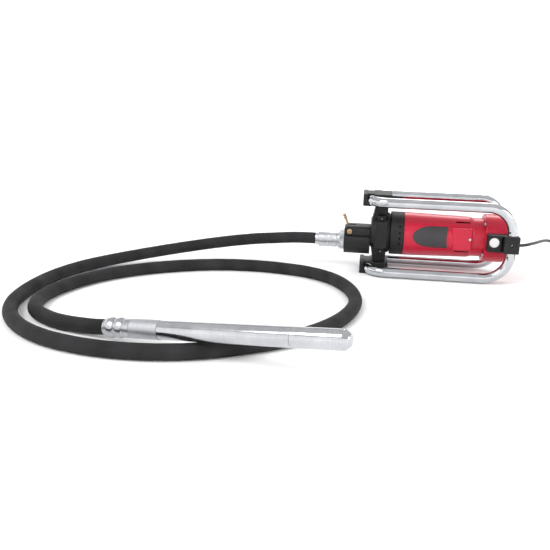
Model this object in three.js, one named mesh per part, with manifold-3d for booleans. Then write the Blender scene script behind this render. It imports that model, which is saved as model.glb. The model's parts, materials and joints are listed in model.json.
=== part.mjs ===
// Hand-held electric concrete vibrator: a motor unit carried between two bent tube hoops, a flexible
// drive hose lying in a loop on the ground, a steel vibrating head, and a mains lead wound in a coil.
// Units are millimetres and +Z is up. The origin is the middle of the lower saddle's foot, on the ground.
// The motor's axis runs along X, with the mains lead at its +X end and the drive hose at its -X end.

import * as THREE from 'three';
import { mergeVertices } from 'three/addons/utils/BufferGeometryUtils.js';
import ManifoldModule from 'manifold-3d';

const wasm = await ManifoldModule();
wasm.setup();

// ---------------------------------------------------------------- driving dimensions

const GAP = 0.3;                      // between pieces that touch

// Carrying hoops, bent from round tube
const TUBE_RADIUS = 12.5;
const TUBE_WALL = 2;
const TUBE_SIDES = 10;
const HOOP_SPACING = 154;             // between the front and the back hoop's planes
const HOOP_HEIGHT = 178.5;            // between the upper and the lower tube's centre lines
const HOOP_LEFT = -15.5;              // centre lines of the cross tubes and of the rear uprights
const HOOP_RIGHT = 331.5;
const HOOP_INWARD_BEND = 45;          // bend radii, to the centre line
const HOOP_UPRIGHT_BEND = 62;
const FOOT_SKIN = 1.5;                // under the lower tube, where the saddle stands on the ground
const LOWER_TUBE_Z = TUBE_RADIUS + FOOT_SKIN;
const UPPER_TUBE_Z = LOWER_TUBE_Z + HOOP_HEIGHT;
const HOOP_Y = HOOP_SPACING / 2;

// Saddles that hold the hoops' bent ends
const SADDLE_RIM = 9;
const SADDLE_RIGHT = 36;
const SADDLE_HALF_WIDTH = 45;
const SADDLE_INNER = 16;              // from the tube's centre line to the saddle's face at the motor
const SADDLE_OUTER = 14.5;

// Motor
const AXIS_Z = (LOWER_TUBE_Z + UPPER_TUBE_Z) / 2;
const YOKE_LEFT = -13;
const YOKE_RIGHT = 37;
const RING_RIGHT = 71;
const NECK_LEFT = 243;
const CAP_LEFT = 272;
const CAP_RIGHT = 333;
const RING_RADIUS = 55.75;
const HOUSING_FRONT_RADIUS = 56;
const HOUSING_REAR_RADIUS = 52.2;
const NECK_RADIUS = 49;
const CAP_RADIUS = 61;
const CAP_SCREW_REACH = 54.4;
const SHAFT_RADIUS = 5;

// Gear pair between the motor and the output spindle
const MODULE = 1.3;
const PINION_TEETH = 17;
const GEAR_TEETH = 23;
const GEAR_CENTRES = MODULE * (PINION_TEETH + GEAR_TEETH) / 2;
const BACKLASH = 0.2;
const OUTPUT_Z = AXIS_Z - GEAR_CENTRES;

// Quick coupling
const COUPLING_LEFT = -81;
const COUPLING_BORE = 20.5;
const SPIGOT_RADIUS = 19;
const LEVER_PIN_X = -67;
const LEVER_PIN_Z = 106.5;
const LEVER_RADIUS = 4;
const LEVER_LENGTH = 44;
const LEVER_LEAN = THREE.MathUtils.degToRad(24);
const PIN_RADIUS = 4;

// Connector sleeve and drive hose
const SLEEVE_LEFT = -157;
const HOSE_RADIUS = 15;
const HOSE_STEPS = 60;

// Vibrating head, along its own X axis
const HEAD_START = new THREE.Vector3(-487.6, -646.3, 22.74);
const HEAD_YAW = THREE.MathUtils.degToRad(-17.7);
const HEAD_RISE = THREE.MathUtils.degToRad(7.5);
const HEAD_RADIUS = 17.5;
const HEAD_BORE = 13.5;
const HEAD_SIDES = 96;
const FERRULE_END = 61;
const THREADED_END = 122;
const TUBE_END = 377;
const HEAD_LENGTH = 478;

// Mains lead
const LEAD_RADIUS = 4;
const GLAND_Y = 12;
const GLAND_Z = 85;
const GLAND_END = 363;
const COIL_CENTRE = new THREE.Vector2(560, 60);
const COIL_REACH = 60;                // of the outermost turn's centre line
const COIL_INNER = 28.2;
const COIL_OUTER = COIL_REACH + LEAD_RADIUS + GAP;
const COIL_HEIGHT = 16.5;
const PLUG_RADIUS = 19;

// Centre line of the drive hose, from the connector sleeve round its loop to the vibrating head
const HOSE_ROUTE = [
  [-157.3, 0, 77.25], [-172, 0, 77.25], [-210, -2, 76.7], [-262, -8, 73.5], [-331, -17, 68],
  [-411, -30, 57.5], [-489, -45, 45], [-566, -68, 32.5], [-634, -102, 22.5],
  [-683, -144, 17], [-718, -197, 15.2], [-742, -265, 15], [-755, -345, 15],
  [-755, -430, 15], [-742, -512, 15], [-711, -585, 15], [-661, -648, 15],
  [-585, -700, 15], [-496, -728, 15], [-412, -733, 15], [-330, -719, 15],
  [-258, -689, 15], [-188, -644, 15], [-125, -586, 15], [-77, -512, 15],
  [-48, -430, 15], [-39, -347, 15], [-54, -262, 15], [-97, -178, 15],
  [-160, -126, 15], [-238, -101, 15], [-317, -94, 15], [-394, -104, 15],
  [-474, -134, 15], [-566, -192, 15], [-641, -272, 15], [-687, -370, 15],
  [-700, -468, 15], [-672, -556, 15], [-603, -610, 15],
  [-526.3, -634, 17.6], [-487.6, -646.3, 22.74],
];

// Centre line of the mains lead, from the gland down to the coil
const LEAD_ROUTE = [
  [363.3, 12, 85], [369, 12, 85], [380, 15.5, 85.4], [391, 23, 85.6], [402, 37, 85.4],
  [418, 60, 84], [437, 95, 81], [458, 135, 77], [480, 172, 71],
  [506, 199, 61], [541, 211, 46], [577, 200, 29], [606, 170, 14],
  [619, 138, 5.5], [620, 112, 4], [620, 92.2, 4],
];

// ---------------------------------------------------------------- finishes

function finish(color, roughness, metalness) {
  return () => new THREE.MeshStandardMaterial({ color, roughness, metalness });
}

const chrome = finish(0xd9dadc, 0.12, 1);
const polishedSteel = finish(0xc9cbcd, 0.22, 1);
const zincSteel = finish(0xb9bcbe, 0.42, 1);
const darkSteel = finish(0x77797c, 0.4, 1);
const brass = finish(0xb88a3e, 0.35, 1);
const copper = finish(0xb06a3a, 0.4, 1);
const redPlastic = finish(0xc3122f, 0.32, 0);
const blackPlastic = finish(0x1c1c1e, 0.55, 0);
const blackCasting = finish(0x19191a, 0.6, 0.1);
const badgeGrey = finish(0x3d3e41, 0.5, 0);
const whitePlastic = finish(0xdedede, 0.4, 0);
const hoseRubber = finish(0x27272a, 0.8, 0);
const leadRubber = finish(0x1a1a1b, 0.6, 0);
const carbon = finish(0x2c2c2e, 0.8, 0);

// ---------------------------------------------------------------- solids

// A closed solid for joining and cutting, with its faces turned outward.
function solid(geometry) {
  const bare = geometry.clone();
  bare.deleteAttribute('normal');
  bare.deleteAttribute('uv');
  const merged = mergeVertices(bare, 1e-3);
  const corner = (i) => new THREE.Vector3().fromBufferAttribute(merged.attributes.position, i);
  const faces = [];
  let volume = 0;
  for (let i = 0; i < merged.index.count; i += 3) {
    const [a, b, c] = [0, 1, 2].map((k) => merged.index.getX(i + k));
    if (a !== b && b !== c && c !== a) {
      faces.push([a, b, c]);
      volume += corner(a).dot(corner(b).cross(corner(c)));
    }
  }
  const triVerts = faces.flatMap(([a, b, c]) => (volume < 0 ? [a, c, b] : [a, b, c]));
  return new wasm.Manifold(new wasm.Mesh({
    numProp: 3,
    vertProperties: new Float32Array(merged.attributes.position.array),
    triVerts: new Uint32Array(triVerts),
  }));
}

function join(first, ...others) {
  return others.reduce((whole, piece) => whole.add(piece), first);
}

function cut(first, ...others) {
  return others.reduce((whole, piece) => whole.subtract(piece), first);
}

function box([x0, x1], [y0, y1], [z0, z1]) {
  const geometry = new THREE.BoxGeometry(x1 - x0, y1 - y0, z1 - z0);
  return solid(geometry.translate((x0 + x1) / 2, (y0 + y1) / 2, (z0 + z1) / 2));
}

const TURN_TO_AXIS = {
  x: new THREE.Matrix4().makeRotationZ(-Math.PI / 2),
  y: new THREE.Matrix4(),
  z: new THREE.Matrix4().makeRotationX(Math.PI / 2),
};

// Flats round a circle: enough to read as round, and the same on pieces that fit in each other.
function flatsFor(radius) {
  if (radius > 30) {
    return 24;
  }
  if (radius > 11) {
    return 16;
  }
  return radius > 3.9 ? 10 : 6;
}

// A solid of revolution about a line parallel to an axis. The profile is a list of [distance along, radius],
// and one that doesn't start and end on the axis is closed on itself.
function turned(axis, profile, at, sides = 0) {
  const points = profile.map(([along, radius]) => new THREE.Vector2(radius, along));
  if (points[0].x > 0 || points.at(-1).x > 0) {
    points.push(points[0].clone());
  }
  const flats = sides || flatsFor(Math.max(...points.map((point) => point.x)));
  const geometry = new THREE.LatheGeometry(points, flats).applyMatrix4(TURN_TO_AXIS[axis]);
  return solid(geometry.translate(...at));
}

function rod(axis, radius, from, to, at) {
  return turned(axis, [[from, 0], [from, radius], [to, radius], [to, 0]], at);
}

function ring(axis, outer, inner, from, to, at) {
  return turned(axis, [[from, inner], [from, outer], [to, outer], [to, inner]], at);
}

const AXES = [new THREE.Vector3(1, 0, 0), new THREE.Vector3(0, 1, 0), new THREE.Vector3(0, 0, 1)];
const LIFT_FROM_OUTLINE = {
  x: new THREE.Matrix4().makeBasis(AXES[1], AXES[2], AXES[0]),
  y: new THREE.Matrix4().makeBasis(AXES[0], AXES[2], AXES[1].clone().negate()),
  z: new THREE.Matrix4(),
};

// A flat outline drawn out along an axis: in Y and Z for x, in X and Z for y, in X and Y for z.
function drawnOut(axis, outline, from, to, curveSegments = 10) {
  const options = { depth: to - from, bevelEnabled: false, curveSegments };
  const geometry = new THREE.ExtrudeGeometry(outline, options);
  geometry.applyMatrix4(LIFT_FROM_OUTLINE[axis]);
  const start = { x: [from, 0, 0], y: [0, to, 0], z: [0, 0, from] }[axis];
  return solid(geometry.translate(...start));
}

function outlineOf(points) {
  return new THREE.Shape(points.map(([a, b]) => new THREE.Vector2(a, b)));
}

// A path through given stations, so that straight runs need no more steps than their two ends.
class StationPath extends THREE.Curve {
  constructor(stations) {
    super();
    this.stations = stations;
  }

  getPoint(t) {
    const last = this.stations.length - 1;
    const index = Math.min(Math.floor(t * last), last - 1);
    return this.stations[index].clone().lerp(this.stations[index + 1], t * last - index);
  }

  getPointAt(t) {
    return this.getPoint(t);
  }

  getTangentAt(t) {
    const last = this.stations.length - 1;
    const index = Math.round(t * last);
    const before = this.stations[Math.max(index - 1, 0)];
    const after = this.stations[Math.min(index + 1, last)];
    return after.clone().sub(before).normalize();
  }
}

function tubeAlong(stations, radius, sides) {
  const section = outlineOf(Array.from({ length: sides }, (_, i) => {
    const angle = (i + 0.5) / sides * 2 * Math.PI;
    return [radius * Math.cos(angle), radius * Math.sin(angle)];
  }));
  const extrudePath = new StationPath(stations);
  const options = { steps: stations.length - 1, extrudePath, bevelEnabled: false };
  return solid(new THREE.ExtrudeGeometry(section, options));
}

// Stations along a smooth curve through a route, with short straight ends in line with its end legs.
function smoothStations(route, steps) {
  const points = route.map((point) => new THREE.Vector3(...point));
  const stations = new THREE.CatmullRomCurve3(points, false, 'centripetal').getSpacedPoints(steps);
  const stub = (end, next) => end.clone().add(next.clone().sub(end).setLength(5));
  stations.splice(1, 0, stub(points[0], points[1]));
  stations.splice(-1, 0, stub(points.at(-1), points.at(-2)));
  return stations;
}

// ---------------------------------------------------------------- the object

const vibrator = new THREE.Group();
vibrator.name = 'concrete_vibrator';
const head = new THREE.Group();
head.position.copy(HEAD_START);
head.rotation.set(0, -HEAD_RISE, HEAD_YAW, 'ZYX');
vibrator.add(head);

function addPart(name, shape, material, parent = vibrator) {
  const mesh = shape.getMesh();
  const geometry = new THREE.BufferGeometry();
  geometry.setAttribute('position', new THREE.BufferAttribute(new Float32Array(mesh.vertProperties), 3));
  geometry.setIndex(new THREE.BufferAttribute(new Uint32Array(mesh.triVerts), 1));
  geometry.computeVertexNormals();
  const part = new THREE.Mesh(geometry, material());
  part.name = name;
  parent.add(part);
}

const ON_AXIS = [0, 0, AXIS_Z];
const ON_OUTPUT = [0, 0, OUTPUT_Z];
const SIDES = { front: -1, back: 1 };
const LEVELS = { upper: 1, lower: -1 };

// Stations round a bend: its centre, two unit directions from it, and its sweep in radians.
function bend(centre, from, towards, radius, sweep = Math.PI / 2, steps = 5) {
  return Array.from({ length: steps + 1 }, (_, i) => {
    const angle = sweep * i / steps;
    return centre.clone()
      .addScaledVector(from, radius * Math.cos(angle))
      .addScaledVector(towards, radius * Math.sin(angle));
  });
}

function hoopStations(side) {
  const [alongX, , up] = AXES;
  const outward = new THREE.Vector3(0, side, 0);
  const inwardBendX = HOOP_LEFT + HOOP_INWARD_BEND;
  const inwardBendY = side * (HOOP_Y - HOOP_INWARD_BEND);
  const uprightBendX = HOOP_RIGHT - HOOP_UPRIGHT_BEND;
  const left = alongX.clone().negate();
  const down = up.clone().negate();
  return [
    new THREE.Vector3(HOOP_LEFT, side * 8, UPPER_TUBE_Z),
    ...bend(new THREE.Vector3(inwardBendX, inwardBendY, UPPER_TUBE_Z), left, outward, HOOP_INWARD_BEND),
    ...bend(new THREE.Vector3(uprightBendX, side * HOOP_Y, UPPER_TUBE_Z - HOOP_UPRIGHT_BEND), up, alongX,
      HOOP_UPRIGHT_BEND),
    ...bend(new THREE.Vector3(uprightBendX, side * HOOP_Y, LOWER_TUBE_Z + HOOP_UPRIGHT_BEND), alongX, down,
      HOOP_UPRIGHT_BEND),
    ...bend(new THREE.Vector3(inwardBendX, inwardBendY, LOWER_TUBE_Z), outward, left, HOOP_INWARD_BEND),
    new THREE.Vector3(HOOP_LEFT, side * 8, LOWER_TUBE_Z),
  ];
}

function hoops() {
  for (const [name, side] of Object.entries(SIDES)) {
    const stations = hoopStations(side);
    const bore = [...stations];
    bore.unshift(stations[0].clone().add(new THREE.Vector3(0, -side, 0)));
    bore.push(stations.at(-1).clone().add(new THREE.Vector3(0, -side, 0)));
    const outer = tubeAlong(stations, TUBE_RADIUS, TUBE_SIDES);
    const inner = tubeAlong(bore, TUBE_RADIUS - TUBE_WALL, TUBE_SIDES);
    addPart(`hoop_${name}`, cut(outer, inner), chrome);
  }
}

// Plan of a saddle: its left corners follow the hoops' inward bends, a rim's width outside the tube.
function saddleOutline() {
  const cornerRadius = HOOP_INWARD_BEND + TUBE_RADIUS + SADDLE_RIM;
  const cornerX = HOOP_LEFT + HOOP_INWARD_BEND;
  const cornerY = HOOP_Y - HOOP_INWARD_BEND;
  const sweep = Math.asin((SADDLE_HALF_WIDTH - cornerY) / cornerRadius);
  const outline = new THREE.Shape();
  outline.moveTo(SADDLE_RIGHT, -SADDLE_HALF_WIDTH);
  outline.lineTo(SADDLE_RIGHT, SADDLE_HALF_WIDTH);
  outline.absarc(cornerX, cornerY, cornerRadius, Math.PI - sweep, Math.PI, false);
  outline.absarc(cornerX, -cornerY, cornerRadius, Math.PI, Math.PI + sweep, false);
  return outline;
}

// The space in front of a bent tube, which leaves the tube bare in its cradle.
function cradleOutline(side) {
  const centreX = HOOP_LEFT + HOOP_INWARD_BEND;
  const centreY = side * (HOOP_Y - HOOP_INWARD_BEND);
  const near = HOOP_INWARD_BEND - 6;
  const far = HOOP_INWARD_BEND + TUBE_RADIUS + GAP;
  const outline = new THREE.Shape();
  const start = Math.PI;
  const end = Math.PI - side * Math.PI / 2;
  outline.moveTo(centreX + far * Math.cos(start), centreY + far * Math.sin(start));
  outline.absarc(centreX, centreY, far, start, end, side > 0);
  outline.lineTo(SADDLE_RIGHT + 1, centreY + side * far);
  outline.lineTo(SADDLE_RIGHT + 1, centreY + side * near);
  outline.absarc(centreX, centreY, near, end, start, side < 0);
  return outline;
}

function saddles() {
  for (const [name, level] of Object.entries(LEVELS)) {
    const tubeZ = level > 0 ? UPPER_TUBE_Z : LOWER_TUBE_Z;
    const bottom = level > 0 ? tubeZ - SADDLE_INNER : 0;
    const top = level > 0 ? tubeZ + SADDLE_OUTER : tubeZ + SADDLE_INNER;
    const cutters = Object.values(SIDES).flatMap((side) => [
      tubeAlong(hoopStations(side), TUBE_RADIUS + GAP, TUBE_SIDES),
      drawnOut('z', cradleOutline(side), tubeZ - 4, top + 1, 5),
    ]);
    const crossBore = rod('y', TUBE_RADIUS + GAP, -9, 9, [HOOP_LEFT, 0, tubeZ]);
    const lightening = box([6, SADDLE_RIGHT + 1], [-9, 9], [tubeZ - 7, tubeZ + 7]);
    const body = drawnOut('z', saddleOutline(), bottom, top, 6);
    addPart(`saddle_${name}`, cut(body, ...cutters, crossBore, lightening), blackPlastic);
  }
}

// ---------------------------------------------------------------- gear case

function gearCase() {
  const armOutline = (level) => outlineOf([
    [YOKE_LEFT, AXIS_Z + level * 24],
    [-3.5, level > 0 ? UPPER_TUBE_Z - SADDLE_INNER - GAP : LOWER_TUBE_Z + SADDLE_INNER + GAP],
    [28, level > 0 ? UPPER_TUBE_Z - SADDLE_INNER - GAP : LOWER_TUBE_Z + SADDLE_INNER + GAP],
    [30, AXIS_Z + level * 24],
  ]);
  const arms = Object.values(LEVELS).map((level) => drawnOut('y', armOutline(level), -25, 25));
  const body = turned('x', [
    [YOKE_LEFT, 0], [YOKE_LEFT, 40], [12, 52], [YOKE_RIGHT, 52], [YOKE_RIGHT, 0],
  ], ON_AXIS);
  const nose = rod('x', 35, YOKE_LEFT, 20, ON_OUTPUT);
  const panels = Object.values(SIDES).map((side) => drawnOut('y', outlineOf([
    [-2, AXIS_Z - 33], [1, AXIS_Z + 36], [28, AXIS_Z + 36], [28, AXIS_Z - 33],
  ]), ...[side * 40, side * 53].sort((a, b) => a - b)));
  const lugs = Object.values(SIDES).flatMap((side) => Object.values(LEVELS).map((level) => {
    const reach = [side * 18, side * 42].sort((a, b) => a - b);
    const height = [AXIS_Z + level * 35, AXIS_Z + level * 50].sort((a, b) => a - b);
    return box([4, 23], reach, height);
  }));
  const pockets = [
    rod('x', 46, 33, YOKE_RIGHT + 1, ON_AXIS),
    rod('x', 17, 8, 34, ON_AXIS),
    rod('x', 19, 8, 34, ON_OUTPUT),
    rod('x', 17.8, -7, 9, ON_OUTPUT),
    rod('x', 14, YOKE_LEFT - 1, -6, ON_OUTPUT),
  ];
  const screwHoles = screwPlaces().map(({ x, y, z, side }) => {
    const reach = [y - side * 12, y + side].sort((a, b) => a - b);
    return rod('y', 2.4, ...reach, [x, 0, z]);
  });
  addPart('gearbox_yoke', cut(join(body, nose, ...arms, ...panels, ...lugs), ...pockets, ...screwHoles),
    blackCasting);
}

function screwPlaces() {
  return Object.entries(SIDES).flatMap(([sideName, side]) => (
    Object.entries(LEVELS).map(([levelName, level]) => ({
      name: `yoke_screw_${sideName}_${levelName}`, x: 13.5, y: side * 42, z: AXIS_Z + level * 42.5, side,
    }))
  ));
}

// A hexagon socket cap screw along Y, its head resting on a face at y.
function capScrewY({ x, y, z, side }, shankRadius, shankLength, headRadius, headHeight) {
  const under = y + side * GAP;
  const sorted = (a, b) => [a, b].sort((p, q) => p - q);
  const headEnds = sorted(under, under + side * headHeight);
  const socketEnds = sorted(under + side * headHeight * 0.45, under + side * (headHeight + 1));
  const shank = rod('y', shankRadius, ...sorted(under - side * shankLength, under + side), [x, 0, z]);
  return cut(join(shank, rod('y', headRadius, ...headEnds, [x, 0, z])),
    rod('y', headRadius * 0.5, ...socketEnds, [x, 0, z], 6));
}

function yokeScrews() {
  for (const place of screwPlaces()) {
    addPart(place.name, capScrewY(place, 2, 10, 3.8, 3.5), zincSteel);
  }
}

// Outline of a spur gear with involute flanks, a tooth centred on the angle given.
function gearOutline(teeth, toothAt) {
  const pitch = MODULE * teeth / 2;
  const base = pitch * Math.cos(THREE.MathUtils.degToRad(20));
  const tip = pitch + 0.9 * MODULE;
  const root = pitch - 1.25 * MODULE;
  const involute = (radius) => {
    const pressure = Math.acos(Math.min(1, base / radius));
    return Math.tan(pressure) - pressure;
  };
  const halfTooth = Math.PI / (2 * teeth) - BACKLASH / (2 * pitch) + involute(pitch);
  const flank = [pitch - 0.6 * MODULE, pitch, tip].map((radius) => Math.max(radius, base));
  const points = [];
  for (let tooth = 0; tooth < teeth; tooth += 1) {
    const centre = toothAt + tooth * 2 * Math.PI / teeth;
    const rise = flank.map((radius) => [radius, centre - halfTooth + involute(radius)]);
    const fall = flank.map((radius) => [radius, centre + halfTooth - involute(radius)]).reverse();
    points.push(...rise, ...fall, [root, centre + Math.PI / teeth]);
  }
  return outlineOf(points.map(([radius, angle]) => [radius * Math.cos(angle), radius * Math.sin(angle)]));
}

function gearTrain() {
  const pinionTeeth = drawnOut('x', gearOutline(PINION_TEETH, -Math.PI / 2), 12, 22).translate(0, 0, AXIS_Z);
  const shaft = turned('x', [
    [9, 0], [9, 4], [12, SHAFT_RADIUS], [318, SHAFT_RADIUS], [318, 0],
  ], ON_AXIS);
  addPart('armature_shaft', join(shaft, pinionTeeth), darkSteel);

  const gapAtTop = Math.PI / 2 + Math.PI / GEAR_TEETH;
  const teeth = drawnOut('x', gearOutline(GEAR_TEETH, gapAtTop), 12.5, 21.5).translate(0, 0, OUTPUT_Z);
  addPart('driven_gear', cut(teeth, rod('x', 6.5, 11, 23, ON_OUTPUT)), darkSteel);

  const spindle = turned('x', [
    [-44, 0], [-44, 12], [-31, 12], [-29, 8.5], [-10, 8.5], [-10, 7.5], [6, 7.5], [7, 9], [12, 9], [12, 6],
    [28, 6], [28, 5], [36.5, 5], [36.5, 0],
  ], ON_OUTPUT);
  const socket = rod('x', 7.2, -45, -33, ON_OUTPUT);
  addPart('output_spindle', cut(spindle, socket), zincSteel);
  addPart('spindle_bearing', ring('x', 17.5, 7.8, -5.7, 5.7, ON_OUTPUT), darkSteel);
}

function bearingPlate() {
  const disc = turned('x', [[33.3, 0], [33.3, 45.7], [37, 45.7], [37, 20], [48, 20], [48, 0]], ON_AXIS);
  addPart('bearing_plate', cut(
    disc,
    rod('x', 6, 30, 50, ON_AXIS),
    rod('x', 15.3, 38.5, 49, ON_AXIS),
    rod('x', 5.5, 30, 50, ON_OUTPUT),
  ), zincSteel);
}

// ---------------------------------------------------------------- quick coupling

function couplingHousing() {
  const corner = 14;
  const half = 34.5;
  const top = 119.5;
  const shoulder = new THREE.Shape();
  shoulder.moveTo(-half, OUTPUT_Z + 20);
  shoulder.lineTo(half, OUTPUT_Z + 20);
  shoulder.absarc(half - corner, top - corner, corner, 0, Math.PI / 2, false);
  shoulder.absarc(corner - half, top - corner, corner, Math.PI / 2, Math.PI, false);
  const right = YOKE_LEFT - GAP;
  const block = join(
    drawnOut('x', shoulder, COUPLING_LEFT, right, 5),
    rod('x', 33.5, COUPLING_LEFT, right, ON_OUTPUT),
  );
  const notch = drawnOut('y', outlineOf([
    [COUPLING_LEFT - 1, 112], [COUPLING_LEFT - 1, top + 1], [COUPLING_LEFT + 10, top + 1],
  ]), -40, 40);
  addPart('coupling_housing', cut(
    block,
    notch,
    rod('x', COUPLING_BORE, COUPLING_LEFT - 1, right + 1, ON_OUTPUT),
    box([COUPLING_LEFT - 1, -51], [-5.2, 5.2], [OUTPUT_Z, top + 1]),
    rod('y', PIN_RADIUS + GAP, -40, 40, [LEVER_PIN_X, 0, LEVER_PIN_Z]),
  ), blackPlastic);
}

function lockLever() {
  const stem = turned('z', [
    [5, 0], [5, LEVER_RADIUS], [33, LEVER_RADIUS], [33.5, 3], [35.5, 3], [36, LEVER_RADIUS],
    [LEVER_LENGTH - 1, LEVER_RADIUS], [LEVER_LENGTH, 3], [LEVER_LENGTH, 0],
  ], [0, 0, 0]).rotate(0, THREE.MathUtils.radToDeg(-LEVER_LEAN), 0);
  const hub = rod('y', 8, -4.8, 4.8, [0, 0, 0]);
  const dog = box([-3, 3], [-4, 4], [-12, -3]);
  const bore = rod('y', PIN_RADIUS + GAP, -6, 6, [0, 0, 0]);
  addPart('lock_lever', cut(join(hub, dog, stem), bore).translate(LEVER_PIN_X, 0, LEVER_PIN_Z), brass);

  const face = 34.5 + GAP;
  addPart('lever_pin', turned('y', [
    [-face - 2.5, 0], [-face - 2.5, 5.5], [-face - 1, 6.8], [-face, 6.8], [-face, PIN_RADIUS],
    [face, PIN_RADIUS], [face, 6.8], [face + 1, 6.8], [face + 2.5, 5.5], [face + 2.5, 0],
  ], [LEVER_PIN_X, 0, LEVER_PIN_Z]), brass);
}

function connector() {
  addPart('connector_sleeve', turned('x', [
    [SLEEVE_LEFT, 8], [SLEEVE_LEFT, 16], [-149.5, 16], [-148.5, 19.5], [-146, 20.4], [-101, 20.4],
    [-100, 19.2], [-98, 19.2], [-97, 21.2], [-94, 21.2], [-93, 25], [COUPLING_LEFT - GAP, 25],
    [COUPLING_LEFT - GAP, 16], [-62.5, 16], [-62.5, SPIGOT_RADIUS], [-46, SPIGOT_RADIUS], [-46, 8],
  ], ON_OUTPUT), zincSteel);
  addPart('core_end_fitting', turned('x', [
    [-152, 0], [-152, 5.5], [-60, 5.5], [-60, 6.8], [-34, 6.8], [-34, 0],
  ], ON_OUTPUT), darkSteel);
}

// ---------------------------------------------------------------- motor

function motorCasing() {
  const vents = Object.values(SIDES).flatMap((side) => [-18, -4, 10, 25].map((rise) => {
    const angle = Math.asin(rise / RING_RADIUS);
    const spoke = rod('y', 2.3, -8, 8, [0, 0, 0]).rotate(THREE.MathUtils.radToDeg(-side * angle), 0, 0);
    const out = side * (RING_RADIUS - 3);
    return spoke.translate(60, out * Math.cos(angle), AXIS_Z + (RING_RADIUS - 3) * Math.sin(angle));
  }));
  addPart('vent_ring', cut(turned('x', [
    [YOKE_RIGHT + GAP, 42], [YOKE_RIGHT + GAP, RING_RADIUS],
    [RING_RIGHT - GAP, RING_RADIUS], [RING_RIGHT - GAP, 50.5], [45, 50.5], [45, 42],
  ], ON_AXIS), ...vents), blackPlastic);

  const shell = turned('x', [
    [RING_RIGHT, 52.6], [RING_RIGHT, HOUSING_FRONT_RADIUS], [78, HOUSING_FRONT_RADIUS],
    [236, HOUSING_REAR_RADIUS], [241, 50.5], [NECK_LEFT, NECK_RADIUS], [286, NECK_RADIUS], [286, 44.5],
    [240, 44.5], [236, 48.8],
  ], ON_AXIS);
  const panels = Object.values(SIDES).map((side) => drawnOut('y', outlineOf([
    [194, AXIS_Z - 28], [187, AXIS_Z + 29], [241, AXIS_Z + 29], [241, AXIS_Z - 28],
  ]), ...[side * 47, side * 54].sort((a, b) => a - b)));
  const core = turned('x', [[70, 0], [70, 52.6], [236, 48.8], [240, 44.5], [287, 44.5], [287, 0]], ON_AXIS);
  const slots = Object.values(SIDES).flatMap((side) => [-31.5, 41.5].map((rise) => {
    const reach = [side * 20, side * 60].sort((a, b) => a - b);
    return box([199, 235], reach, [AXIS_Z + rise - 1.5, AXIS_Z + rise + 1.5]);
  }));
  const screwPlace = { x: 234.5, y: -54, z: AXIS_Z + 3, side: SIDES.front };
  const screwHole = rod('y', 2.4, -60, -44, [screwPlace.x, 0, screwPlace.z]);
  addPart('motor_housing', cut(join(shell, cut(join(...panels), core)), ...slots, screwHole), redPlastic);
  addPart('housing_screw', capScrewY(screwPlace, 2, 8, 3.4, 2), zincSteel);
}

// A plain plate with a bullet-shaped outline that follows the housing's curve.
function badge() {
  const outline = new THREE.Shape();
  const [left, shoulder, right] = [92.5, 140, 181];
  const [bottom, top] = [AXIS_Z - 23, AXIS_Z + 30.5];
  outline.moveTo(shoulder, bottom);
  outline.lineTo(right, bottom);
  outline.quadraticCurveTo(right - 6, (bottom + top) / 2, right - 4, top);
  outline.lineTo(shoulder, top);
  const [middle, halfHeight] = [(bottom + top) / 2, (top - bottom) / 2];
  const [roundFrom, roundTo] = [Math.PI / 2, 1.5 * Math.PI];
  outline.absellipse(shoulder, middle, shoulder - left, halfHeight, roundFrom, roundTo, false, 0);
  const prism = drawnOut('y', outline, -70, -30, 12);
  const slope = (HOUSING_FRONT_RADIUS - HOUSING_REAR_RADIUS) / (236 - 78);
  const radiusAt = (x, proud) => HOUSING_FRONT_RADIUS - slope * (x - 78) + proud;
  const skin = turned('x', [
    [84, radiusAt(84, GAP)], [84, radiusAt(84, 1.6)], [190, radiusAt(190, 1.6)], [190, radiusAt(190, GAP)],
  ], ON_AXIS);
  addPart('badge_plate', prism.intersect(skin), badgeGrey);
}

function stator() {
  const [from, to] = [110, 190];
  const coreRing = ring('x', 48, 43, from, to, ON_AXIS);
  const bore = rod('x', 29, from - 1, to + 1, ON_AXIS);
  const poles = Object.values(LEVELS).flatMap((level) => {
    const height = (low, high) => [AXIS_Z + level * low, AXIS_Z + level * high].sort((a, b) => a - b);
    const shoe = ring('x', 32, 20, from, to, ON_AXIS).intersect(box([from, to], [-19, 19], height(5, 40)));
    return [box([from, to], [-10, 10], height(20, 45)), shoe];
  });
  addPart('stator_core', cut(join(coreRing, ...poles), bore), darkSteel);
  for (const [name, level] of Object.entries(LEVELS)) {
    const height = [AXIS_Z + level * 32.4, AXIS_Z + level * 38.2].sort((a, b) => a - b);
    const block = box([from - 10, to + 10], [-18.5, 18.5], height);
    const window = box([from - GAP, to + GAP], [-10.4, 10.4], [height[0] - 1, height[1] + 1]);
    addPart(`field_coil_${name}`, cut(block, window), copper);
  }
}

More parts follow.
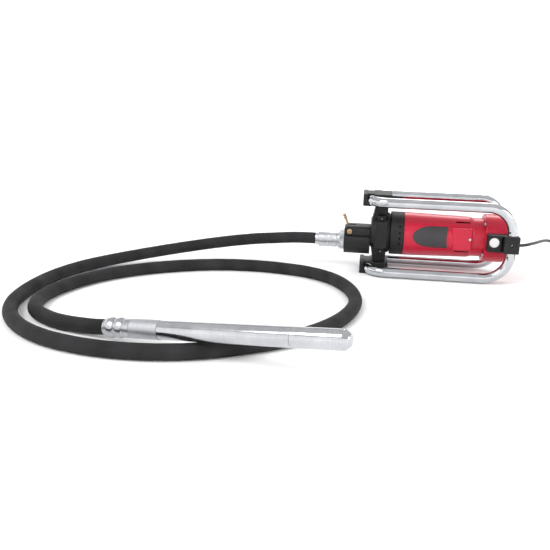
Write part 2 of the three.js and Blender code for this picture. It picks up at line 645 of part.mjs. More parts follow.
function armature() {
  addPart('armature_core', turned('x', [
    [98, SHAFT_RADIUS + GAP], [98, 21], [110, 23], [110, 28], [190, 28], [190, 23], [202, 21],
    [202, SHAFT_RADIUS + GAP],
  ], ON_AXIS), copper);
  addPart('commutator', turned('x', [
    [220, SHAFT_RADIUS + GAP], [220, 17], [223, 17], [223, 16], [244, 16], [244, SHAFT_RADIUS + GAP],
  ], ON_AXIS), copper);
  const blades = Array.from({ length: 8 }, (_, i) => (
    box([52, 63], [-1, 1], [12, 42]).rotate(i * 45, 0, 0).translate(0, 0, AXIS_Z)
  ));
  const hub = turned('x', [[49, 0], [49, 13], [50, 42], [52.5, 42], [52.5, 14], [63, 14], [63, 0]], ON_AXIS);
  const fanBore = rod('x', SHAFT_RADIUS + GAP, 48, 64, ON_AXIS);
  addPart('cooling_fan', cut(join(hub, ...blades), fanBore), blackPlastic);
  addPart('front_bearing', ring('x', 15, SHAFT_RADIUS + GAP, 38.8, 47.5, ON_AXIS), darkSteel);
  addPart('rear_bearing', ring('x', 13, SHAFT_RADIUS + GAP, 293, 302, ON_AXIS), darkSteel);
}

function brushGear() {
  for (const [name, level] of Object.entries(LEVELS)) {
    const height = (low, high) => [AXIS_Z + level * low, AXIS_Z + level * high].sort((a, b) => a - b);
    addPart(`carbon_brush_${name}`, box([227, 239], [-4, 4], height(16.3, 33)), carbon);
    addPart(`brush_holder_${name}`, cut(
      box([223.5, 242.5], [-7.5, 7.5], height(20, 41.5)),
      box([226.7, 239.3], [-4.3, 4.3], height(18, 39)),
    ), brass);
  }
}

// ---------------------------------------------------------------- rear end

const CAP_SCREW_ANGLES = [48, 132, 222, 318];      // degrees round the motor's axis, from +Y towards +Z

function endCap() {
  const body = turned('x', [
    [CAP_LEFT, 0], [CAP_LEFT, CAP_RADIUS], [322, CAP_RADIUS], [328, CAP_RADIUS - 1.8],
    [331.5, CAP_RADIUS - 6], [CAP_RIGHT, CAP_RADIUS - 12], [CAP_RIGHT, 0],
  ], ON_AXIS);
  const rodsRoundCap = (radius, start, end) => CAP_SCREW_ANGLES.map((angle) => (
    rod('x', radius, start, end, [0, CAP_SCREW_REACH, 0]).rotate(angle, 0, 0).translate(0, 0, AXIS_Z)
  ));
  const screwHoles = rodsRoundCap(2.1, CAP_LEFT - 1, CAP_LEFT + 14);
  const lugs = rodsRoundCap(5, CAP_LEFT, CAP_LEFT + 18);
  const shell = cut(
    body,
    rod('x', NECK_RADIUS + GAP, CAP_LEFT - 1, 288, ON_AXIS),
    rod('x', 55.5, CAP_LEFT + 3, 303, ON_AXIS),
    rod('x', 52, 306, 330, ON_AXIS),
  );
  const collar = cut(rod('x', 16.5, 291, 306.5, ON_AXIS), rod('x', 13.3, 290, 303, ON_AXIS));
  const clearLugs = cut(join(...lugs), rod('x', NECK_RADIUS + GAP, CAP_LEFT - 1, 305, ON_AXIS));
  addPart('end_cap', cut(
    join(shell, collar, clearLugs),
    rod('x', 6, 300, 320, ON_AXIS),
    box([320, 340], [-10.8, 10.8], [112, 142]),
    rod('x', 7.8, 325, 340, [0, GLAND_Y, GLAND_Z]),
    ...screwHoles,
  ), redPlastic);
  CAP_SCREW_ANGLES.forEach((angle, i) => {
    const screw = cut(join(
      rod('x', 1.8, CAP_LEFT - GAP - 1, CAP_LEFT + 12, [0, CAP_SCREW_REACH, 0]),
      rod('x', 3.8, CAP_LEFT - GAP - 3.6, CAP_LEFT - GAP, [0, CAP_SCREW_REACH, 0]),
    ), rod('x', 1.9, CAP_LEFT - 5, CAP_LEFT - 2.2, [0, CAP_SCREW_REACH, 0], 6));
    addPart(`end_cap_screw_${i + 1}`, screw.rotate(angle, 0, 0).translate(0, 0, AXIS_Z), zincSteel);
  });
}

function sideClamps() {
  const [left, step, right] = [273, 310.5, 347.5];
  const height = [AXIS_Z - 20, AXIS_Z + 22.5];
  for (const [name, side] of Object.entries(SIDES)) {
    const reach = (a, b) => [side * a, side * b].sort((p, q) => p - q);
    const body = join(
      box([left, step + 1], reach(50, 86), height),
      box([step, right], reach(50, 96), height),
    );
    const boltPlace = { x: 288, y: side * 86, z: AXIS_Z + 5, side };
    addPart(`side_clamp_${name}`, cut(
      body,
      rod('x', CAP_RADIUS + GAP, left - 1, right + 1, ON_AXIS),
      rod('z', TUBE_RADIUS + GAP, height[0] - 1, height[1] + 1, [HOOP_RIGHT, side * HOOP_Y, 0]),
      rod('y', 5.6, ...reach(55, 90), [boltPlace.x, 0, boltPlace.z]),
      rod('y', 2.5, ...reach(90, 97), [330, 0, AXIS_Z + 1]),
    ), blackPlastic);
    addPart(`clamp_bolt_${name}`, boltWithCap(boltPlace), whitePlastic);
  }
}

// A screw under a round plastic cap, pointing at the motor.
function boltWithCap({ x, y, z, side }) {
  const under = Math.abs(y) + GAP;
  const profile = [
    [62, 0], [62, 5], [under, 5], [under, 12], [under + 2.5, 12], [under + 4.5, 10], [under + 5, 0],
  ];
  return turned('y', profile.map(([along, radius]) => [side * along, radius]), [x, 0, z]);
}

function powerSwitch() {
  const z = 127;
  const bezel = box([CAP_RIGHT + GAP, CAP_RIGHT + 2], [-13, 13], [z - 17, z + 17]);
  const body = box([314, CAP_RIGHT + 1], [-10.5, 10.5], [z - 14.7, z + 14.7]);
  const well = box([322, CAP_RIGHT + 3], [-8.3, 8.3], [z - 12.3, z + 12.3]);
  addPart('switch_body', cut(join(bezel, body), well), blackPlastic);
  const rocker = new THREE.Shape();
  rocker.moveTo(-7, -6.5);
  rocker.lineTo(-7, 6.5);
  rocker.lineTo(4, 11.2);
  rocker.quadraticCurveTo(0.5, 0, 4, -11.2);
  const tilt = 9;
  const shape = drawnOut('y', rocker, -8, 8, 6).rotate(0, tilt, 0).translate(332, 0, z);
  addPart('switch_rocker', shape, blackPlastic);
}

function cableGland() {
  addPart('cable_gland', turned('x', [
    [326, 0], [326, 7.5], [CAP_RIGHT + GAP, 7.5], [CAP_RIGHT + GAP, 10.5], [CAP_RIGHT + 3, 10.5],
    [CAP_RIGHT + 5, 8.5], [CAP_RIGHT + 14, 7.6], [GLAND_END, 5.4], [GLAND_END, 0],
  ], [0, GLAND_Y, GLAND_Z]), leadRubber);
}

// ---------------------------------------------------------------- hose, lead and plug

function hoseAndLead() {
  addPart('drive_hose', tubeAlong(smoothStations(HOSE_ROUTE, HOSE_STEPS), HOSE_RADIUS, 10), hoseRubber);
  addPart('power_cable', tubeAlong(smoothStations(LEAD_ROUTE, 20), LEAD_RADIUS, 8), leadRubber);
  addPart('cable_coil', turned('z', [
    [0, COIL_INNER], [0, COIL_OUTER], [COIL_HEIGHT, COIL_OUTER], [COIL_HEIGHT, COIL_INNER],
  ], [COIL_CENTRE.x, COIL_CENTRE.y, 0]), leadRubber);
}

function plug() {
  const axisX = COIL_CENTRE.x + COIL_REACH;
  const axisZ = PLUG_RADIUS + GAP;
  const at = [axisX, 0, axisZ];
  const start = COIL_CENTRE.y - 35;
  addPart('plug_body', turned('y', [
    [start, 0], [start, 5], [start - 30, 7.5], [start - 36, 15], [start - 44, PLUG_RADIUS],
    [start - 62, PLUG_RADIUS], [start - 64, 17], [start - 64, 0],
  ], at), leadRubber);
  for (const [name, offset] of Object.entries({ left: -9.5, right: 9.5 })) {
    addPart(`plug_pin_${name}`, turned('y', [
      [start - 64.3, 0], [start - 64.3, 2.4], [start - 81, 2.4], [start - 83, 1.4], [start - 83, 0],
    ], [axisX + offset, 0, axisZ]), brass);
  }
}

// ---------------------------------------------------------------- vibrating head

// Half-round crimp beads between two places along the ferrule.
function crimpBead(centre, halfWidth, base, height) {
  return [-1, -0.5, 0, 0.5, 1].map((t) => [
    centre + halfWidth * t, base + height * Math.cos(t * Math.PI / 2),
  ]);
}

function vibratingHead() {
  const onHead = [0, 0, 0];
  addPart('hose_ferrule', turned('x', [
    [GAP, 8.5], [GAP, 16.2], [3, 16.8], ...crimpBead(14.5, 8.5, 16.8, 2.4), ...crimpBead(34, 8.5, 16.8, 2.4),
    [47, 17.8], [FERRULE_END, 17.8], [FERRULE_END, 8.5],
  ], onHead), zincSteel, head);
  addPart('head_coupling', turned('x', [
    [FERRULE_END + GAP, 8.5], [FERRULE_END + GAP, 17.2], [FERRULE_END + 1.5, 18], [THREADED_END - 1.5, 18],
    [THREADED_END, 17.2], [THREADED_END, 8.5],
  ], onHead), zincSteel, head);
  addPart('head_tube', turned('x', [
    [THREADED_END + GAP, HEAD_BORE], [THREADED_END + GAP, HEAD_RADIUS - 0.4],
    [THREADED_END + GAP + 0.4, HEAD_RADIUS], [TUBE_END - 0.4, HEAD_RADIUS], [TUBE_END, HEAD_RADIUS - 0.4],
    [TUBE_END, HEAD_BORE],
  ], onHead, HEAD_SIDES), polishedSteel, head);
  addPart('head_nose', turned('x', [
    [TUBE_END + GAP, HEAD_BORE], [TUBE_END + GAP, HEAD_RADIUS - 0.4], [TUBE_END + GAP + 0.4, HEAD_RADIUS],
    [HEAD_LENGTH - 12, HEAD_RADIUS], [HEAD_LENGTH - 11, HEAD_RADIUS - 0.5], [HEAD_LENGTH - 3, 11.5],
    [HEAD_LENGTH - 1.2, 9.6], [HEAD_LENGTH - 0.3, 7.5], [HEAD_LENGTH, 4.5],
    [HEAD_LENGTH, 0], [HEAD_LENGTH - 20, 0], [HEAD_LENGTH - 20, HEAD_BORE],
  ], onHead, HEAD_SIDES), polishedSteel, head);

  const shaft = turned('x', [
    [64, 0], [64, 5.5], [116, 5.5], [116, 6], [426, 6], [426, 0],
  ], onHead);
  const mass = ring('x', 12.3, 4, 150, 390, onHead).intersect(box([140, 400], [-13, 13], [-13, 2]));
  addPart('eccentric_rotor', join(shaft, mass), darkSteel, head);
  addPart('head_bearing_rear', ring('x', HEAD_BORE - GAP, 6.3, 130, 141, onHead), darkSteel, head);
  addPart('head_bearing_front', ring('x', HEAD_BORE - GAP, 6.3, 410, 421, onHead), darkSteel, head);
}

hoops();
saddles();
gearCase();
yokeScrews();
gearTrain();
bearingPlate();
couplingHousing();
lockLever();
connector();
motorCasing();
badge();
stator();
armature();
brushGear();
endCap();
sideClamps();
powerSwitch();
cableGland();
hoseAndLead();
plug();
vibratingHead();

export default vibrator;
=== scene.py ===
"""Looks of a hand-held concrete vibrator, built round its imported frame.

Lengths are in millimetres until they reach a mesh, where MM turns them into metres. The motor's axis
runs along +X, its badge side faces -Y and the ground is at z = 0.
"""
import json
import math

import bmesh
import bpy
from mathutils import Matrix, Vector


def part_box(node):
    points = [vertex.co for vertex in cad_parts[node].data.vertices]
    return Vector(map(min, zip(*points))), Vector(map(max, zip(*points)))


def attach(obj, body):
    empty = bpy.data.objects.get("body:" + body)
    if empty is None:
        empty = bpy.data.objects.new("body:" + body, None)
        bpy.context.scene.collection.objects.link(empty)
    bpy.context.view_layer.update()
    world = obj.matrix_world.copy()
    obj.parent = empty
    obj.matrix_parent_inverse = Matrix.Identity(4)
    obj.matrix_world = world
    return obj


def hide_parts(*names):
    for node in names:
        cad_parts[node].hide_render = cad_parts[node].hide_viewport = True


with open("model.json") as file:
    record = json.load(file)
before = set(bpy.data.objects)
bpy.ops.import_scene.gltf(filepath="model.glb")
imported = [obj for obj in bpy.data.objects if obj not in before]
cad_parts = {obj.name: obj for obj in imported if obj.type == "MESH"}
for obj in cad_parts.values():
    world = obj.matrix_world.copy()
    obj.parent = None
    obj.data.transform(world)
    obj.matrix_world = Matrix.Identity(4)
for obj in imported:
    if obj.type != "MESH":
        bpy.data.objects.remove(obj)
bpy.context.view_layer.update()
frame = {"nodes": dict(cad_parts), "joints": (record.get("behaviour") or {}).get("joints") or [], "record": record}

MM = 0.001
UNIT = "motor_unit"          # the body that everything fixed rides on
NODES = frame["nodes"]
JOINTS = {joint["name"]: joint for joint in frame["joints"]}


def span(node, axis):
    """A CAD node's lowest and highest place along axis 0, 1 or 2, in millimetres."""
    low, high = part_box(node)
    return low[axis] / MM, high[axis] / MM


def middle(node, axis):
    return sum(span(node, axis)) / 2


# ---------------------------------------------------------------- places taken from the frame

AXIS_Z = JOINTS["armature_spin"]["pos_m"][2] / MM
OUTPUT_Z = JOINTS["spindle_spin"]["pos_m"][2] / MM
LEVER_PIN = Vector(JOINTS["lever_turn"]["pos_m"]) / MM
HEAD_START = Vector(JOINTS["rotor_spin"]["pos_m"]) / MM
HEAD_WAY = Vector(JOINTS["rotor_spin"]["axis"]).normalized()
SIDES = {"front": -1, "back": 1}
LEVELS = {"upper": 1, "lower": -1}

# ---------------------------------------------------------------- camera

CAMERA_AT = Vector((-27.6, -1783.1, 448.3)) * MM
CAMERA_YAW = math.radians(-7.53)
CAMERA_PITCH = math.radians(14.95)
CAMERA_ROLL = math.radians(1.68)
SENSOR_WIDTH = 36
LENS = 44.65


def make_camera():
    flat = math.cos(CAMERA_PITCH)
    forward = Vector((
        math.sin(CAMERA_YAW) * flat, math.cos(CAMERA_YAW) * flat, -math.sin(CAMERA_PITCH)))
    level = Vector((math.cos(CAMERA_YAW), -math.sin(CAMERA_YAW), 0))
    up = level.cross(forward)
    right = level * math.cos(CAMERA_ROLL) + up * math.sin(CAMERA_ROLL)
    above = up * math.cos(CAMERA_ROLL) - level * math.sin(CAMERA_ROLL)
    data = bpy.data.cameras.new("camera")
    data.sensor_width = SENSOR_WIDTH
    data.lens = LENS
    data.clip_start = 0.01
    data.clip_end = 100
    camera = bpy.data.objects.new("camera", data)
    turn = Matrix((right, above, -forward)).transposed().to_4x4()
    camera.matrix_world = Matrix.Translation(CAMERA_AT) @ turn
    bpy.context.scene.collection.objects.link(camera)
    bpy.context.scene.camera = camera


make_camera()

# ---------------------------------------------------------------- materials


class Shader:
    """A Principled material under construction, with short calls to add and link nodes."""

    def __init__(self, name, **sockets):
        self.material = bpy.data.materials.new(name)
        self.material.use_nodes = True
        self.tree = self.material.node_tree
        self.bsdf = self.tree.nodes["Principled BSDF"]
        for socket, value in sockets.items():
            self.bsdf.inputs[socket.replace("_", " ")].default_value = value

    def node(self, kind, inputs=None, **settings):
        made = self.tree.nodes.new("ShaderNode" + kind)
        for key, value in settings.items():
            setattr(made, key, value)
        for key, value in (inputs or {}).items():
            if isinstance(value, bpy.types.NodeSocket):
                self.tree.links.new(value, made.inputs[key])
            else:
                made.inputs[key].default_value = value
        return made

    def place(self, scale=(1, 1, 1), attribute=None, turn=None):
        """Coordinates in metres: the piece's own, turned if asked, or those that a mesh attribute holds."""
        if attribute:
            source = self.node("Attribute", attribute_name=attribute).outputs["Vector"]
        else:
            source = self.node("TexCoord").outputs["Object"]
        if turn:
            source = self.node("Mapping", {"Vector": source, "Rotation": turn}).outputs["Vector"]
        return self.node("Mapping", {"Vector": source, "Scale": scale}).outputs["Vector"]

    def noise(self, place, scale, detail=4, roughness=0.55):
        inputs = {"Vector": place, "Scale": scale, "Detail": detail, "Roughness": roughness}
        return self.node("TexNoise", inputs).outputs["Fac"]

    def math(self, operation, a, b=0.0, c=0.0):
        return self.node("Math", {0: a, 1: b, 2: c}, operation=operation).outputs[0]

    def scaled(self, value, low, high, out_low, out_high):
        inputs = {"Value": value, "From Min": low, "From Max": high, "To Min": out_low, "To Max": out_high}
        return self.node("MapRange", inputs).outputs["Result"]

    def between(self, factor, a, b):
        mix = self.node("Mix", {0: factor, 6: (*a, 1), 7: (*b, 1)}, data_type="RGBA")
        return mix.outputs[2]

    def set(self, socket, value):
        self.tree.links.new(value, self.bsdf.inputs[socket])

    def bump(self, height, distance, strength=1.0, under=None):
        inputs = {"Height": height, "Distance": distance, "Strength": strength}
        if under:
            inputs["Normal"] = under
        return self.node("Bump", inputs).outputs["Normal"]


def chrome(name):
    """Bright plating with faint drawing lines and a few dull smears."""
    made = Shader(name, Metallic=1.0)
    place = made.place()
    smear = made.noise(place, 16, 5, 0.6)
    fine = made.noise(place, 900, 2)
    dull = made.scaled(smear, 0.35, 0.7, 0, 1)
    made.set("Base Color", made.between(dull, (0.57, 0.58, 0.60), (0.44, 0.455, 0.475)))
    made.set("Roughness", made.scaled(smear, 0.3, 0.75, 0.045, 0.13))
    made.set("Normal", made.bump(fine, 0.00002, 0.25))
    return made.material


def steel(name, color, dark, low_roughness, high_roughness, rings=0.0, attribute=None, grain=1400,
          turn=None):
    """Turned or ground steel: stretched grain round the axis, with patches that are duller."""
    made = Shader(name, Metallic=1.0)
    along = made.place((1, 1, 1), attribute, turn)
    stretched = made.place((1, 0.03, 0.03), attribute, turn)
    patches = made.noise(along, 24, 6, 0.65)
    grains = made.noise(stretched, grain, 2)
    tint = made.math("MULTIPLY_ADD", grains, 0.5, made.math("MULTIPLY", patches, 0.6))
    made.set("Base Color", made.between(made.scaled(tint, 0.35, 0.8, 0, 1), dark, color))
    made.set("Roughness", made.scaled(patches, 0.3, 0.7, low_roughness, high_roughness))
    height = made.math("ADD", made.math("MULTIPLY", grains, rings), made.math("MULTIPLY", patches, 0.4))
    made.set("Normal", made.bump(height, 0.00006, 0.5))
    return made.material


def moulding(name, color, shade, roughness, grain, grain_depth, coat=0.0, gleam=0.5):
    """Moulded plastic or a painted casting: a fine pebbled skin over slow changes of gloss."""
    made = Shader(name, Coat_Weight=coat, Coat_Roughness=0.12, Specular_IOR_Level=gleam)
    place = made.place()
    slow = made.noise(place, 9, 4)
    pebble = made.noise(place, grain, 3, 0.5)
    made.set("Base Color", made.between(made.scaled(slow, 0.3, 0.7, 0, 1), shade, color))
    gloss = made.math("MULTIPLY_ADD", slow, 0.5, made.math("MULTIPLY", pebble, 0.5))
    made.set("Roughness", made.scaled(gloss, 0.3, 0.7, roughness * 0.85, roughness * 1.2))
    made.set("Normal", made.bump(pebble, grain_depth, 0.6))
    return made.material


def hose_cover(name):
    """Rubbered cloth wrapped on a mandrel: bands of slightly unlike grey, weave, and chalky dust."""
    made = Shader(name, Specular_IOR_Level=0.22)
    place = made.place(attribute="lay")
    parts = made.node("SeparateXYZ", {"Vector": place})
    sway = made.math("MULTIPLY", parts.outputs["Y"], 0.5)
    along = made.math("ADD", parts.outputs["X"], sway)
    band_inputs = {"W": along, "Scale": 17.0, "Detail": 1.0}
    bands = made.node("TexNoise", band_inputs, noise_dimensions="1D").outputs["Fac"]
    weave = made.noise(made.place((1, 1, 1), "lay"), 1700, 2)
    mottle = made.noise(place, 55, 6, 0.7)
    tone = made.math("MULTIPLY_ADD", bands, 0.6, made.math("MULTIPLY", mottle, 0.5))
    tint = made.scaled(tone, 0.35, 0.75, 0, 1)
    made.set("Base Color", made.between(tint, (0.010, 0.0097, 0.0105), (0.025, 0.0245, 0.026)))
    made.set("Roughness", made.scaled(mottle, 0.3, 0.7, 0.68, 0.88))
    rough = made.bump(weave, 0.00025, 0.55)
    made.set("Normal", made.bump(mottle, 0.0004, 0.5, rough))
    return made.material


def lead_cover(name):
    """Smooth flexible sheath with faint scuffs."""
    made = Shader(name, Specular_IOR_Level=0.45)
    place = made.place()
    scuff = made.noise(place, 70, 5, 0.6)
    tint = made.scaled(scuff, 0.35, 0.75, 0, 1)
    made.set("Base Color", made.between(tint, (0.010, 0.010, 0.011), (0.028, 0.028, 0.030)))
    made.set("Roughness", made.scaled(scuff, 0.3, 0.7, 0.38, 0.55))
    made.set("Normal", made.bump(made.noise(place, 1500, 2), 0.00005, 0.4))
    return made.material


CHROME = chrome("chrome")
HEAD_TURN = tuple(HEAD_WAY.rotation_difference(Vector((1, 0, 0))).to_euler())
POLISHED = steel("polished_steel", (0.60, 0.61, 0.63), (0.40, 0.41, 0.43), 0.09, 0.20, 1.0,
                 grain=1600, turn=HEAD_TURN)
INNER_STEEL = steel("inner_steel", (0.66, 0.67, 0.69), (0.40, 0.41, 0.43), 0.20, 0.40, 0.8)
ZINC = steel("zinc_steel", (0.66, 0.67, 0.69), (0.40, 0.41, 0.43), 0.20, 0.40, 0.8, "lay", 1500)
SATIN = steel("satin_steel", (0.54, 0.55, 0.57), (0.32, 0.33, 0.35), 0.17, 0.34, 0.8, "lay", 1500)
FROSTED = steel("frosted_steel", (0.54, 0.55, 0.57), (0.36, 0.37, 0.39), 0.40, 0.55, 1.0, "lay", 700)
DARK_STEEL = steel("dark_steel", (0.26, 0.265, 0.27), (0.12, 0.125, 0.13), 0.28, 0.5, 0.8)
BLACKED = steel("blacked_steel", (0.05, 0.05, 0.052), (0.02, 0.02, 0.021), 0.22, 0.4, 0.4)
BRASS = steel("brass", (0.52, 0.38, 0.22), (0.34, 0.22, 0.11), 0.20, 0.38, 0.8)
COPPER = steel("copper", (0.60, 0.27, 0.14), (0.34, 0.13, 0.06), 0.25, 0.45, 0.8)
RED = moulding("red_plastic", (0.50, 0.005, 0.032), (0.43, 0.004, 0.026), 0.34, 1100, 0.00005, 0.18,
               gleam=0.34)
BLACK = moulding("black_plastic", (0.009, 0.009, 0.0095), (0.006, 0.006, 0.0065), 0.55, 1000, 0.00012,
                 gleam=0.34)
CASTING = moulding("black_casting", (0.008, 0.008, 0.0085), (0.005, 0.005, 0.0055), 0.50, 700, 0.00016,
                   gleam=0.32)
GREY = moulding("badge_grey", (0.030, 0.026, 0.029), (0.023, 0.020, 0.023), 0.42, 1600, 0.00004)
WHITE = moulding("white_plastic", (0.60, 0.60, 0.60), (0.54, 0.54, 0.53), 0.30, 900, 0.00004, 0.3)
CARBON = moulding("carbon", (0.03, 0.03, 0.032), (0.02, 0.02, 0.021), 0.7, 2400, 0.00006)
HOSE = hose_cover("hose_rubber")
LEAD = lead_cover("lead_rubber")

# ---------------------------------------------------------------- mesh tools


def basis(at, way, up=Vector((0, 0, 1))):
    """A frame at a point in millimetres: X along way, Z near up."""
    x = Vector(way).normalized()
    y = Vector(up).cross(x).normalized()
    z = x.cross(y)
    turn = Matrix((x, y, z)).transposed().to_4x4()
    return Matrix.Translation(Vector(at)) @ turn


def along_x(z, y=0.0):
    return basis((0, y, z), (1, 0, 0))


HEAD_FRAME = basis(HEAD_START, HEAD_WAY)


def new_piece(name, verts, faces, material, lay=None, sharp=32):
    mesh = bpy.data.meshes.new(name)
    mesh.from_pydata([Vector(v) * MM for v in verts], [], faces)
    if lay:
        layer = mesh.attributes.new("lay", "FLOAT_VECTOR", "POINT")
        layer.data.foreach_set("vector", [c * MM for point in lay for c in point])
    mesh.materials.append(material)
    mesh.validate()
    made = bpy.data.objects.new(name, mesh)
    bpy.context.scene.collection.objects.link(made)
    smooth(made, sharp)
    return made


def smooth(piece, sharp=32):
    piece.data.shade_smooth()
    piece.data.set_sharp_from_angle(angle=math.radians(sharp))


def rounded(profile, radius, closed=False, steps=3):
    """The profile with its corners turned into small arcs."""
    points = [Vector(p) for p in profile]
    if radius <= 0:
        return points
    result = []
    count = len(points)
    for i, corner in enumerate(points):
        if not closed and i in (0, count - 1):
            result.append(corner)
            continue
        before = points[i - 1] - corner
        after = points[(i + 1) % count] - corner
        if before.length < 1e-6 or after.length < 1e-6 or before.angle(after) > math.radians(165):
            result.append(corner)
            continue
        reach = min(radius, before.length * 0.45, after.length * 0.45)
        start = corner + before.normalized() * reach
        end = corner + after.normalized() * reach
        for k in range(steps + 1):
            t = k / steps
            result.append(start.lerp(corner, t).lerp(corner.lerp(end, t), t))
    return result


def turned(name, profile, at, material, corner=0.5, sides=72, sharp=32):
    """A solid of revolution about the frame's X. The profile is [along, radius], closed if off the axis."""
    closed = profile[0][1] > 0 or profile[-1][1] > 0
    points = rounded(profile, corner, closed)
    verts, lay, rows = [], [], []
    for along, radius in points:
        if radius < 1e-6:
            rows.append([len(verts)])
            verts.append(at @ Vector((along, 0, 0)))
            lay.append((along, 0, 0))
            continue
        rows.append(list(range(len(verts), len(verts) + sides)))
        for k in range(sides):
            angle = 2 * math.pi * k / sides
            local = Vector((along, radius * math.cos(angle), radius * math.sin(angle)))
            verts.append(at @ local)
            lay.append(local)
    pairs = list(zip(rows, rows[1:]))
    if closed:
        pairs.append((rows[-1], rows[0]))
    faces = []
    for a, b in pairs:
        for k in range(sides):
            n = (k + 1) % sides
            quad = [a[k % len(a)], b[k % len(b)], b[n % len(b)], a[n % len(a)]]
            face = [v for i, v in enumerate(quad) if v != quad[i - 1]]
            if len(face) > 2:
                faces.append(face)
    made = new_piece(name, verts, faces, material, lay, sharp)
    outward(made)
    return made


def outward(piece):
    bm = bmesh.new()
    bm.from_mesh(piece.data)
    bmesh.ops.recalc_face_normals(bm, faces=bm.faces)
    bm.to_mesh(piece.data)
    bm.free()


def swept(name, points, radius, material, sides=32, uneven=None, sharp=50):
    """A round rod along a path, with its unrolled coordinates kept in the attribute lay."""
    points = [Vector(p) for p in points]
    tangents = []
    for i in range(len(points)):
        tangents.append((points[min(i + 1, len(points) - 1)] - points[max(i - 1, 0)]).normalized())
    side = tangents[0].orthogonal().normalized()
    verts, lay, faces = [], [], []
    run = 0.0
    for i, (point, tangent) in enumerate(zip(points, tangents)):
        side = (side - tangent * side.dot(tangent)).normalized()
        over = tangent.cross(side)
        run += (point - points[i - 1]).length if i else 0
        for k in range(sides):
            angle = 2 * math.pi * k / sides
            reach = radius + (uneven(run, angle) if uneven else 0)
            verts.append(point + (side * math.cos(angle) + over * math.sin(angle)) * reach)
            lay.append((run, radius * math.cos(angle), radius * math.sin(angle)))
    for i in range(len(points) - 1):
        for k in range(sides):
            n = (k + 1) % sides
            faces.append([i * sides + k, i * sides + n, (i + 1) * sides + n, (i + 1) * sides + k])
    faces.append(list(range(sides))[::-1])
    faces.append([(len(points) - 1) * sides + k for k in range(sides)])
    made = new_piece(name, verts, faces, material, lay, sharp)
    outward(made)
    return made


def prism(name, outline, axis, low, high, material, corner=0.0):
    """An outline drawn out along axis 0, 1 or 2; its two numbers are the other two axes, in order."""
    points = rounded(outline, corner, True, 5) if corner else [Vector(p) for p in outline]
    verts = []
    for level in (low, high):
        for a, b in points:
            at = [a, b]
            at.insert(axis, level)
            verts.append(at)
    n = len(points)
    faces = [list(range(n)), list(range(n, 2 * n))]
    faces += [[k, (k + 1) % n, n + (k + 1) % n, n + k] for k in range(n)]
    made = new_piece(name, verts, faces, material)
    outward(made)
    return made


def block(name, xs, ys, zs, material, corner=0.0):
    outline = [(xs[0], zs[0]), (xs[1], zs[0]), (xs[1], zs[1]), (xs[0], zs[1])]
    return prism(name, outline, 1, min(ys), max(ys), material, corner)


def apply_modifiers(piece):
    graph = bpy.context.evaluated_depsgraph_get()
    mesh = bpy.data.meshes.new_from_object(piece.evaluated_get(graph))
    piece.modifiers.clear()
    piece.data = mesh


def combine(piece, others, operation):
    for other in others:
        step = piece.modifiers.new("combine", "BOOLEAN")
        step.operation = operation
        step.object = other
        step.solver = "EXACT"
        step.use_self = False
    apply_modifiers(piece)
    for other in others:
        bpy.data.objects.remove(other)
    return piece


def cut(piece, *others):
    return combine(piece, others, "DIFFERENCE")


def join(piece, *others):
    return combine(piece, others, "UNION")


def soften(piece, width, segments=2, angle=32, sharp=32):
    step = piece.modifiers.new("soften", "BEVEL")
    step.width = width * MM
    step.segments = segments
    step.limit_method = "ANGLE"
    step.angle_limit = math.radians(angle)
    step.use_clamp_overlap = True
    step.harden_normals = False
    step.miter_outer = "MITER_ARC"
    apply_modifiers(piece)
    smooth(piece, sharp)
    return piece


def settle(piece, body, slot, *nodes):
    even = piece.modifiers.new("even", "WEIGHTED_NORMAL")
    even.keep_sharp = True
    apply_modifiers(piece)
    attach(piece, body)
    if nodes:
        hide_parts(*nodes)
    return piece


# ---------------------------------------------------------------- cords

HOSE_DIAMETER = 30
HOSE_ROUTE = [
    (-157.3, 0, 77.25), (-172, 0, 77.25), (-210, -2, 76.7), (-262, -8, 73.5), (-331, -17, 68),
    (-411, -30, 57.5), (-489, -45, 45), (-566, -68, 32.5), (-634, -102, 22.5),
    (-683, -144, 17), (-718, -197, 15.2), (-742, -265, 15), (-755, -345, 15),
    (-755, -430, 15), (-742, -512, 15), (-711, -585, 15), (-661, -648, 15),
    (-585, -700, 15), (-496, -728, 15), (-412, -733, 15), (-330, -719, 15),
    (-258, -689, 15), (-188, -644, 15), (-125, -586, 15), (-77, -512, 15),
    (-48, -430, 15), (-39, -347, 15), (-54, -262, 15), (-97, -178, 15),
    (-160, -126, 15), (-238, -101, 15), (-317, -94, 15), (-394, -104, 15),
    (-474, -134, 15), (-566, -192, 15), (-641, -272, 15), (-687, -370, 15),
    (-700, -468, 15), (-672, -556, 15), (-603, -610, 15),
    (-526.3, -634, 17.6), (-487.6, -646.3, 22.74),
]
LEAD_DIAMETER = 8
LEAD_ROUTE = [
    (363.3, 12, 85), (369, 12, 85), (380, 15.5, 85.4), (391, 23, 85.6), (402, 37, 85.4),
    (418, 60, 84), (437, 95, 81), (458, 135, 77), (480, 172, 71),
    (506, 199, 61), (541, 211, 46), (577, 200, 29), (606, 170, 14),
    (619, 138, 5.5), (620, 112, 4), (620, 92.2, 4),
]
COIL_AT = Vector((middle("cable_coil", 0), middle("cable_coil", 1), 0))
COIL_PITCH = 8.3              # between neighbouring turns
COIL_REACH = 60               # of the outermost turn's centre line
LAYER_TURNS = 3.25
CLIMB_TURNS = 0.5             # from the lower layer to the upper one
LAYER_RISE = 8.2


